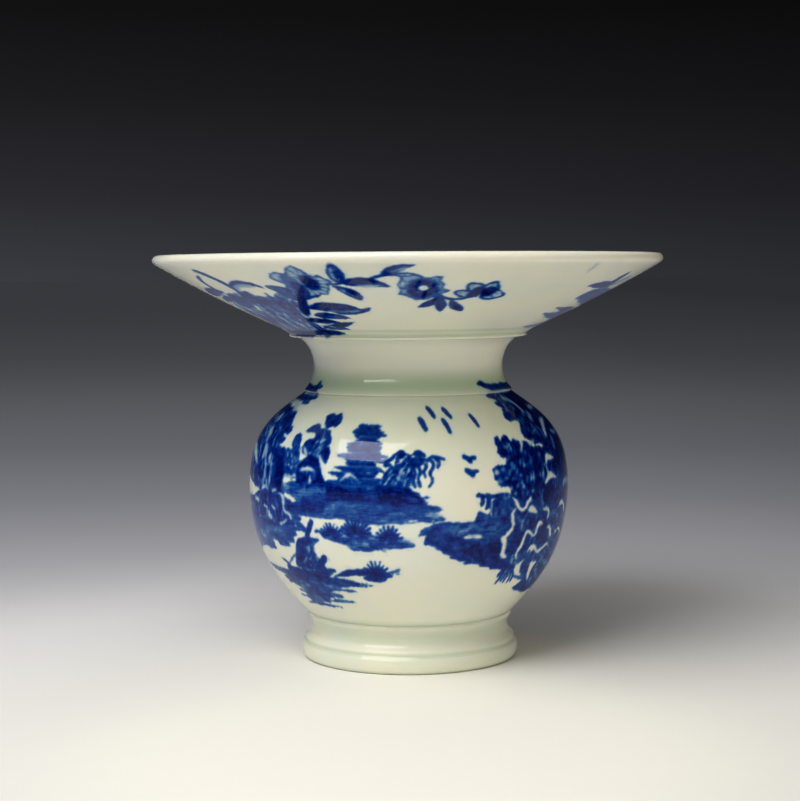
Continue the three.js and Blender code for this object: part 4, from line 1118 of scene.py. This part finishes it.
def refine(bm, outline, sheet, upBy, passes):
    # Smaller faces where the print has edges, so that they show as sharp as in the photograph
    farLayer = bm.verts.layers.float["far"]
    for reach, least in passes:
        sheet["contrast"] = contrastWithin(sheet, reach)
        faces = [f for f in bm.faces if all(v[farLayer] <= outline["wallEnd"] + touching for v in f.verts)]
        middle = np.array([(*f.calc_center_median(), sum(v[farLayer] for v in f.verts) / len(f.verts))
                           for f in faces])
        degrees = np.degrees(np.arctan2(middle[:, 0], -middle[:, 1]))
        up = middle[:, 3] if upBy == "far" else middle[:, 2]
        busy = sampled(sheet, "contrast", degrees, up) > least
        edges = list({e for f, wanted in zip(faces, busy) if wanted for e in f.edges})
        bmesh.ops.subdivide_edges(bm, edges=edges, cuts=1, use_grid_fill=True)
        places = surveyed(bm)
        radius = np.interp(places["far"], outline["far"], outline["line"][:, 0])
        height = np.interp(places["far"], outline["far"], outline["line"][:, 1])
        for v, old, new, level in zip(bm.verts, places["radius"], radius, height):
            if old > 1 and v[farLayer] <= outline["wallEnd"]:
                v.co = (v.co.x * new / old, v.co.y * new / old, level)


def glazeTintsAndPaintedLight(places, bands):
    # Red where glaze pools and where shade is painted, green where it is thin and where highlights are
    # painted, blue where it is wiped off, over ranges of the outline
    tints = np.zeros((len(places["far"]), 4))
    tints[:, 3] = 1
    for channel, low, high, amount in bands:
        share = np.clip(1 - np.abs(places["far"] - (low + high) / 2) / ((high - low) / 2), 0, 1)
        tints[:, channel] = np.maximum(tints[:, channel], amount * share * share * (3 - 2 * share))
    return tints


def unwrap(mesh, far, wallEnd, wallShare):
    # The wall as two half-turn strips, front and back, and the rest as one strip above them
    axisReach = 1e-5  # m, within which a corner is on the axis and has no turn of its own
    closingRun = 0.5  # mm of the last strip for the faces that close the outline
    gap = 0.004  # between strips
    corners = np.zeros(len(mesh.loops), int)
    mesh.loops.foreach_get("vertex_index", corners)
    sides = np.zeros(len(mesh.polygons), int)
    mesh.polygons.foreach_get("loop_total", sides)
    face = np.repeat(np.arange(len(sides)), sides)
    places = np.zeros(len(mesh.vertices) * 3)
    mesh.vertices.foreach_get("co", places)
    x, y = places.reshape(-1, 3)[corners][:, :2].T
    middle = np.array([np.bincount(face, k) / sides for k in (x, y)])
    faceTurn = np.degrees(np.arctan2(middle[0], -middle[1]))[face]
    turn = np.where(np.hypot(x, y) < axisReach, faceTurn, np.degrees(np.arctan2(x, -y)))
    turn = faceTurn + (turn - faceTurn + 180) % 360 - 180
    along = far[corners]
    total = far.max()
    highest, lowest = np.zeros(len(sides)), np.full(len(sides), total)
    np.maximum.at(highest, face, along)
    np.minimum.at(lowest, face, along)
    closing = (highest - lowest > total / 2)[face]
    along = np.where(closing & (along < total / 2), along + total, along)
    onWall = (highest <= wallEnd + touching)[face] & ~closing
    back = np.abs(faceTurn) > 90
    u = np.where(back, (turn % 360 - 90) / 180, (turn + 90) / 180)
    v = (along / wallEnd + back) * wallShare / 2
    restShare = 1 - wallShare
    u = np.where(onWall, u, (turn % 360) / 360)
    wraps = ~onWall & (faceTurn < 0) & (u < 0.25)
    u = np.where(wraps, u + 1, u)
    v = np.where(onWall, v, wallShare + (along - wallEnd) / (total - wallEnd + closingRun) * restShare)
    strip = np.floor(np.where(onWall, back, 2)).astype(int)
    low = np.array([0, wallShare / 2, wallShare])[strip]
    high = np.array([wallShare / 2, wallShare, 1])[strip]
    v = low + gap + (v - low) * (high - low - 2 * gap) / (high - low)
    u = gap + np.clip(u, 0, 1) * (1 - 2 * gap)
    layer = mesh.uv_layers.new(name="OFBake")
    layer.data.foreach_set("uv", np.column_stack([u, v]).ravel())


def finishSection(name, node, bm, outline, size, sheet=None, upBy="height"):
    # Gives the piece its print, its glaze, its UV map and its place in the frame
    places = surveyed(bm)
    onWall = places["far"] <= outline["wallEnd"] + touching
    up = places[upBy]
    printed = np.zeros((len(up), 4))
    printed[:, 3] = 1
    if sheet:
        printed[onWall, 0] = sampled(sheet, "print", places["degrees"][onWall], up[onWall])
        printed[onWall, 1] = sampled(sheet, "lines", places["degrees"][onWall], up[onWall])
    for v in bm.verts:
        v.co *= mm
    mesh = bpy.data.meshes.new(name)
    bm.to_mesh(mesh)
    bm.free()
    # The glaze layer holds real tints and painted light: pooled glaze with painted shade, thin glaze with
    # painted highlight, and the wiped rest
    for label, values in (("print", printed), ("glaze", glazeTintsAndPaintedLight(places, size["bands"]))):
        layer = mesh.attributes.new(label, "FLOAT_COLOR", "POINT")
        layer.data.foreach_set("color", values.astype(np.float32).ravel())
    unwrap(mesh, places["far"], outline["wallEnd"], size["wallShare"])
    mesh.shade_smooth()
    mesh.set_sharp_from_angle(angle=math.radians(50))
    piece = bpy.data.objects.new(name, mesh)
    bpy.context.scene.collection.objects.link(piece)
    mesh.materials.append(porcelain)
    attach(piece, "root")
    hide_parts(node)
    mesh.calc_loop_triangles()
    print(name, "made:", len(mesh.loop_triangles), "triangles")


# Sizes of the sections are in mm. Steps are the longest mesh steps on each part of the outline, and passes
# are (reach, least contrast) of the print that make the wall's faces smaller. The wall share is the part of
# the UV map that the wall takes. Bands are (tint, from, to, amount) along the outline, where tint 0 is pooled
# glaze and painted shade, 1 is thin glaze and painted highlight, and 2 is wiped off.

# Foot ring: a torus, a low bead, a hollow and a thin ridge, on a flat rest wiped free of glaze
foot = {
    "turns": 240,
    "restRadius": 30.2,
    "restWidth": 3.2,
    "recessRadius": 24.8,
    "topRadius": 29.7,
    "height": 13.3,
    "torus": ((31.75, 0.5), (31.75, 4.0), (30.7, 4.75)),
    "turnedLines": (((30.68, 4.77), (30.3, 4.92), (30.2, 5.1), (30.35, 5.4)),  # groove
                    ((30.4, 5.5), (30.48, 5.75), (30.45, 5.95), (30.25, 6.2)),  # bead
                    ((30.2, 6.25), (29.95, 6.5), (29.5, 6.85), (29.2, 7.2))),  # slope
    "hollow": (((29.15, 7.26), (28.75, 7.8), (28.55, 8.55), (28.55, 9.35)),
               ((28.55, 9.4), (28.55, 10.5), (28.8, 11.4), (29.45, 11.9))),
    "ridge": (29.5, 12.0, 0.2),  # radius, lowest height, and how far it stands proud
    "softness": 0.2,
    "steps": (1.2, 3, 2),
    "wallShare": 0.6,
    # Bands: pooled glaze and painted shade in the groove, over the torus and in the hollow, a painted contact
    # shadow at the rest's edge, thin glaze and a painted highlight on the ridge, and the wiped rest
    "bands": ((0, 4.2, 7.2, 0.55), (0, 7.4, 15.6, 0.45), (0, -2.2, 1.6, 1.0), (0, 1.2, 5.8, 0.22),
              (1, 14.4, 15.8, 0.25), (0, 14.9, 17.5, 0.7), (2, 33.8, 38.4, 1.0)),
}


def makeFoot(size):
    rest = (size["restRadius"], 0)
    restInside = (size["restRadius"] - size["restWidth"], 0)
    lines = [bezier(*places, steps=12) for places in size["turnedLines"]]
    hollow = [bezier(*places, steps=40) for places in size["hollow"]]
    radius, low, proud = size["ridge"]
    ridge = roll(radius, low, size["height"], proud)
    outside = glazed(bezier(rest, *size["torus"]), *lines, *hollow, ridge, softness=size["softness"])
    top = np.array([(size["topRadius"], size["height"]), (size["recessRadius"], size["height"])])
    under = glazed(top[1:], [restInside], [rest])
    parts = zip((outside, glazed(top), under), size["steps"])
    bm, outline = turnSection(parts, size["turns"])
    finishSection("footRing", "foot_ring", bm, outline, size)


# Globe: thrown in one curve from the foot to the neck, floored inside
globe = {
    "turns": 224,
    "footRadius": 29.7,
    "bottom": 13.3,
    "bellyRadius": 46.1,
    "bellyHeight": 50.4,
    "neckRadius": 29.6,
    "top": 76.9,
    "lowerHandles": ((38.6, 22.9), (46.1, 31.8)),
    "upperHandles": ((46.1, 67.0), (37.5, 71.1)),
    "wall": 3.2,
    "floor": 17.5,
    "floorCorner": (3, 1.5),  # how far its rounding reaches, in and up
    "mouthEdge": 0.5,
    "softness": 1.2,
    "steps": (1.3, 3, 4, 6),
    "wallShare": 0.88,
    # Bands: pooled glaze and painted shade at the join with the foot, and painted shade over the upper wall
    # and shoulder, under the rim
    "bands": ((0, -2.4, 2.4, 0.75), (0, 44.0, 84.0, 0.32), (0, 64.0, 84.0, 0.42)),
    "passes": ((0.6, 0.18), (0.3, 0.27)),
}


def makeGlobe(size):
    belly = (size["bellyRadius"], size["bellyHeight"])
    lower = bezier((size["footRadius"], size["bottom"]), *size["lowerHandles"], belly)
    upper = bezier(belly, *size["upperHandles"], (size["neckRadius"], size["top"]))
    wall = np.vstack([lower, upper[1:]])
    inner = inset(wall, size["wall"])
    cornerIn, cornerUp = size["floorCorner"]
    clear = (inner[:, 1] > size["floor"] + cornerUp) & (inner[:, 1] < size["top"] - size["mouthEdge"])
    inner = inner[clear][::-1]
    mouth = (size["neckRadius"] - size["wall"], size["top"])
    inside = glazed([mouth], inner, [(inner[-1][0] - cornerIn, size["floor"])], [(0, size["floor"])],
                    softness=size["softness"])
    under = np.array([(0, size["bottom"]), (size["footRadius"], size["bottom"])])
    joint = np.array([(size["neckRadius"], size["top"]), mouth])
    parts = zip((glazed(wall), glazed(joint), inside, glazed(under)), size["steps"])
    bm, outline = turnSection(parts, size["turns"])
    refine(bm, outline, landscape, "height", size["passes"])
    finishSection("globeBody", "globe_body", bm, outline, size, landscape)


# Neck collar: a waisted collar with a fine bead at its foot
neck = {
    "turns": 240,
    "bottom": 76.9,
    "top": 92.6,
    "footRadius": 29.6,
    "beadHeight": 0.8,
    "beadProud": 0.35,
    "waistRadius": 27.25,
    "waistHeight": 83.9,
    "topRadius": 33.35,
    "boreTop": (25.45, 92.6),
    "boreHandles": ((24.05, 89.0), (24.05, 83.9)),
    "boreFoot": (26.4, 76.9),
    "softness": 0.2,
    "steps": (1.1, 3, 2.5, 3),
    "wallShare": 0.7,
    # Bands: a painted highlight on the bead, pooled glaze and painted shade round the lower neck, and light
    # painted shade at the top under the rim
    "bands": ((1, -0.7, 0.9, 0.5), (0, -2.4, 9.6, 1.0), (0, 14.6, 22.0, 0.2)),
    "passes": ((0.5, 0.15), (0.3, 0.2)),
}


def makeNeck(size):
    waist = np.array((size["waistRadius"], size["waistHeight"]))
    start = np.array((size["footRadius"], size["bottom"] + size["beadHeight"]))
    bend = np.array((size["waistRadius"], (start[1] + waist[1]) / 2))
    lower = bezier(start, start / 3 + bend * 2 / 3, waist / 3 + bend * 2 / 3, waist)
    turn = np.linspace(0, math.pi / 2, 60)
    out, up = size["topRadius"] - size["waistRadius"], size["top"] - size["waistHeight"]
    flare = np.column_stack([size["topRadius"] - out * np.cos(turn), size["waistHeight"] + up * np.sin(turn)])
    bead = roll(size["footRadius"], size["bottom"], start[1], size["beadProud"])
    outside = glazed(bead, lower, flare, softness=size["softness"])
    bore = bezier(size["boreTop"], *size["boreHandles"], size["boreFoot"])
    top = np.array([(size["topRadius"], size["top"]), size["boreTop"]])
    under = np.array([size["boreFoot"], (size["footRadius"], size["bottom"])])
    parts = zip((outside, glazed(top), glazed(bore), glazed(under)), size["steps"])
    bm, outline = turnSection(parts, size["turns"])
    refine(bm, outline, landscape, "height", size["passes"])
    finishSection("neckCollar", "neck_collar", bm, outline, size, landscape)


# Rim: a wide shallow saucer on a small ledge, with a rounded lip
rim = {
    "turns": 320,
    "bottom": 92.6,
    "ledge": (34.0, 93.35, 0.35),  # radius, top, and how far it stands proud
    "ledgeFoot": 33.85,
    "step": (36.05, 94.80),
    "bulge": 0.6,
    "radius": 73.0,
    "lipLow": (72.30, 113.30),
    "lipMiddle": 114.0,
    "lipHigh": 114.65,
    "crownHandles": (115.55, (72.33, 116.0)),
    "lipTop": (71.0, 116.0),
    "dishFoot": (31.23, 95.74),
    "throatHandles": ((27.8, 94.2), (26.2, 93.8)),
    "throat": (25.45, 92.6),
    "softness": (0.25, 0.5),  # outside and inside
    "steps": (1.3, 2.2, 3),
    "wallShare": 0.7,
    # Bands: a painted highlight on the ledge, pooled glaze and painted shade in the corner above it, and thin
    # glaze and a painted highlight on the lip
    "bands": ((1, -0.5, 1.0, 0.5), (0, 0.2, 3.0, 1.0), (0, 1.8, 5.4, 0.6), (1, 42.7, 46.3, 0.75)),
    "passes": ((0.6, 0.16), (0.3, 0.24)),
}


def makeRim(size):
    outer, inner = size["softness"]
    ledgeRadius, ledgeTop, proud = size["ledge"]
    ledge = roll(ledgeRadius, size["bottom"], ledgeTop, proud)
    saucer = bowed(size["step"], size["lipLow"], size["bulge"])
    lipHigh, lipMiddle = (size["radius"], size["lipHigh"]), (size["radius"], size["lipMiddle"])
    lip = bezier(size["lipLow"], lipMiddle, lipMiddle, lipHigh)
    outside = glazed(ledge, saucer, lip, softness=outer)
    crownLow, crownHigh = size["crownHandles"]
    crown = bezier(lipHigh, (size["radius"], crownLow), crownHigh, size["lipTop"])
    dish = bowed(size["dishFoot"], size["lipTop"], size["bulge"])[::-1]
    throat = bezier(size["dishFoot"], *size["throatHandles"], size["throat"])
    inside = glazed(crown, dish, throat, softness=inner)
    under = np.array([size["throat"], (size["ledgeFoot"], size["bottom"])])
    bm, outline = turnSection(zip((outside, inside, glazed(under)), size["steps"]), size["turns"])
    refine(bm, outline, sprays, "far", size["passes"])
    finishSection("flaredRim", "flared_rim", bm, outline, size, sprays, upBy="far")


makeFoot(foot)
makeGlobe(globe)
makeNeck(neck)
makeRim(rim)


# Stage: a floor whose colour paints a pool of light in front of the pot, fading to dark grey, with painted
# shade to the right; lit most from the front left
stageLook = {
    "reach": 40.0,  # m
    "lightPoolMiddle": (0, -0.11, 0),  # m, middle of the painted pool of light, and below it distances from there and their colours
    "shades": ((0.055, "#f1eee1"), (0.1, "#e3e1d9"), (0.15, "#e2e0dc"), (0.187, "#dfdddc"),
               (0.222, "#d3d1d1"), (0.262, "#bfbfc1"), (0.307, "#b0b0b4"), (0.391, "#a1a1a8"),
               (0.496, "#95969e"), (0.75, "#8f919a"), (1.22, "#a0a2aa"), (2.77, "#b2b4bd")),
    "fadeLength": 3.0,  # m
    "rightward": ((0.0, 1.0), (0.08, 1.0), (0.22, 0.84), (1.0, 0.66)),  # share of light kept over sideLength, as painted shade to the right
    "sideLength": 1.6,  # m
    "roughness": 0.9,
}


def makeStage(look):
    bm = bmesh.new()
    bmesh.ops.create_circle(bm, cap_ends=True, segments=96, radius=look["reach"])
    mesh = bpy.data.meshes.new("floor")
    bm.to_mesh(mesh)
    bm.free()
    floor = bpy.data.objects.new("floor", mesh)
    bpy.context.scene.collection.objects.link(floor)
    material = bpy.data.materials.new("matteStudioPaper")  # dull, no sheen
    material.use_nodes = True
    tree = material.node_tree
    shader = tree.nodes["Principled BSDF"]
    place = addNode(tree, "ShaderNodeTexCoord").outputs["Object"]
    away = addNode(tree, "ShaderNodeVectorMath", {0: place, 1: look["lightPoolMiddle"]}, operation="DISTANCE")
    share = addNode(tree, "ShaderNodeMath", {0: away.outputs["Value"], 1: look["fadeLength"]},
                    operation="DIVIDE")
    # Painted light: the floor is palest round the pool's middle and fades outwards
    shade = addNode(tree, "ShaderNodeValToRGB", {"Fac": share.outputs[0]},
                    stops=[(at / look["fadeLength"], colour(text)) for at, text in look["shades"]])
    axes = addNode(tree, "ShaderNodeSeparateXYZ", {0: place})
    sideways = addNode(tree, "ShaderNodeMath", {0: axes.outputs["X"], 1: look["sideLength"]},
                       operation="DIVIDE")
    # Painted shade: the floor darkens towards the right
    kept = addNode(tree, "ShaderNodeValToRGB", {"Fac": sideways.outputs[0]}, stops=look["rightward"])
    shaded = addNode(tree, "ShaderNodeMix", {0: 1.0, 6: shade.outputs["Color"], 7: kept.outputs["Color"]},
                     data_type="RGBA", blend_type="MULTIPLY")
    tree.links.new(shaded.outputs[2], shader.inputs["Base Color"])
    shader.inputs["Roughness"].default_value = look["roughness"]
    mesh.materials.append(material)


makeStage(stageLook)

# Lamps: turn from the front, rise and tilt in degrees, distance and size in metres, energy in watts.
# Each serves to light the pot, to show as a gleam in its gloss, or both.
lamps = (
    {"name": "softboxGleam", "turn": -37, "rise": 48, "distance": 0.955, "tilt": 25, "size": (0.7, 0.92),
     "energy": 25.5, "colour": "#fbfdff", "serves": "gloss"},
    {"name": "softbox", "turn": -38, "rise": 46, "distance": 0.955, "tilt": 28, "size": (0.66, 0.67),
     "energy": 7.8, "colour": "#fdfcfd", "serves": "light"},
    {"name": "broadKey", "turn": -34, "rise": 60, "distance": 1.3, "tilt": 0, "size": (1.2, 1.0),
     "energy": 3.9, "colour": "#fffdf8", "serves": "light"},
    {"name": "overhead", "turn": 0, "rise": 88, "distance": 1.1, "tilt": 0, "size": (1.0, 1.0),
     "energy": 1.5, "colour": "#fbfdff", "serves": "both"},
    {"name": "rightFill", "turn": 42, "rise": 3, "distance": 1.2, "tilt": 0, "size": (1.2, 0.9),
     "energy": 5.4, "colour": "#fff0d8", "serves": "light"},
)


def heading(turn, rise):
    turn, rise = math.radians(turn), math.radians(rise)
    return Vector((math.sin(turn) * math.cos(rise), -math.cos(turn) * math.cos(rise), math.sin(rise)))


def makeLamp(look):
    # Tilt turns the lamp's face further down than straight at the pot
    aim = Vector((0, 0, 0.06))  # m, about the middle of the pot
    data = bpy.data.lights.new(look["name"], "AREA")
    data.shape = "RECTANGLE"
    data.size, data.size_y = look["size"]
    data.energy = look["energy"]
    data.color = colour(look["colour"])[:3]
    lamp = bpy.data.objects.new(look["name"], data)
    bpy.context.scene.collection.objects.link(lamp)
    lamp.location = aim + heading(look["turn"], look["rise"]) * look["distance"]
    facing = heading(look["turn"], look["rise"] + look["tilt"])
    lamp.rotation_euler = facing.to_track_quat("Z", "Y").to_euler()
    lamp.visible_glossy = look["serves"] != "light"  # few of the lamps show in the photographed glaze
    lamp.visible_diffuse = look["serves"] != "gloss"


for lampLook in lamps:
    makeLamp(lampLook)

# Surroundings: an even soft fill, seen by the camera and in the glaze as a dark wall
surroundings = {
    "fill": "#f6f8ff",
    "fillStrength": 0.1,
    "wall": ((0.0, "#333439"), (0.144, "#26262a"), (0.33, "#18181a"), (0.48, "#0f0f10"), (1.0, "#0a0a0a")),
    "wallTop": 0.3,  # height of the direction in which it is darkest; its shades run up to there from level
    "sideways": (1.27, 0.73),  # how much brighter its left is than its right
    "sideReach": 0.22,
}


def lightSurroundings(look):
    world = bpy.data.worlds.new("studio")
    bpy.context.scene.world = world
    world.use_nodes = True
    tree = world.node_tree
    tree.nodes.clear()
    rays = addNode(tree, "ShaderNodeLightPath")
    seen = addNode(tree, "ShaderNodeMath",
                   {0: rays.outputs["Is Camera Ray"], 1: rays.outputs["Is Glossy Ray"]}, operation="ADD")
    seenToo = addNode(tree, "ShaderNodeMath", {0: seen.outputs[0], 1: rays.outputs["Is Transmission Ray"]},
                      operation="ADD", use_clamp=True)
    direction = addNode(tree, "ShaderNodeTexCoord").outputs["Generated"]
    axes = addNode(tree, "ShaderNodeSeparateXYZ", {0: direction})
    level = addNode(tree, "ShaderNodeMapRange", {"Value": axes.outputs["Z"], "From Max": look["wallTop"]})
    left, right = look["sideways"]
    side = addNode(tree, "ShaderNodeMapRange",
                   {"Value": axes.outputs["X"], "From Min": -look["sideReach"],
                    "From Max": look["sideReach"], "To Min": left, "To Max": right})
    wall = addNode(tree, "ShaderNodeValToRGB", {"Fac": level.outputs[0]},
                   stops=[(at, colour(text)) for at, text in look["wall"]])
    fill = addNode(tree, "ShaderNodeBackground",
                   {"Color": colour(look["fill"]), "Strength": look["fillStrength"]})
    back = addNode(tree, "ShaderNodeBackground",
                   {"Color": wall.outputs["Color"], "Strength": side.outputs[0]})
    mixed = addNode(tree, "ShaderNodeMixShader",
                    {0: seenToo.outputs[0], 1: fill.outputs[0], 2: back.outputs[0]})
    addNode(tree, "ShaderNodeOutputWorld", {"Surface": mixed.outputs[0]})


lightSurroundings(surroundings)
bpy.context.scene.view_settings.view_transform = "Standard"
print("stage set")
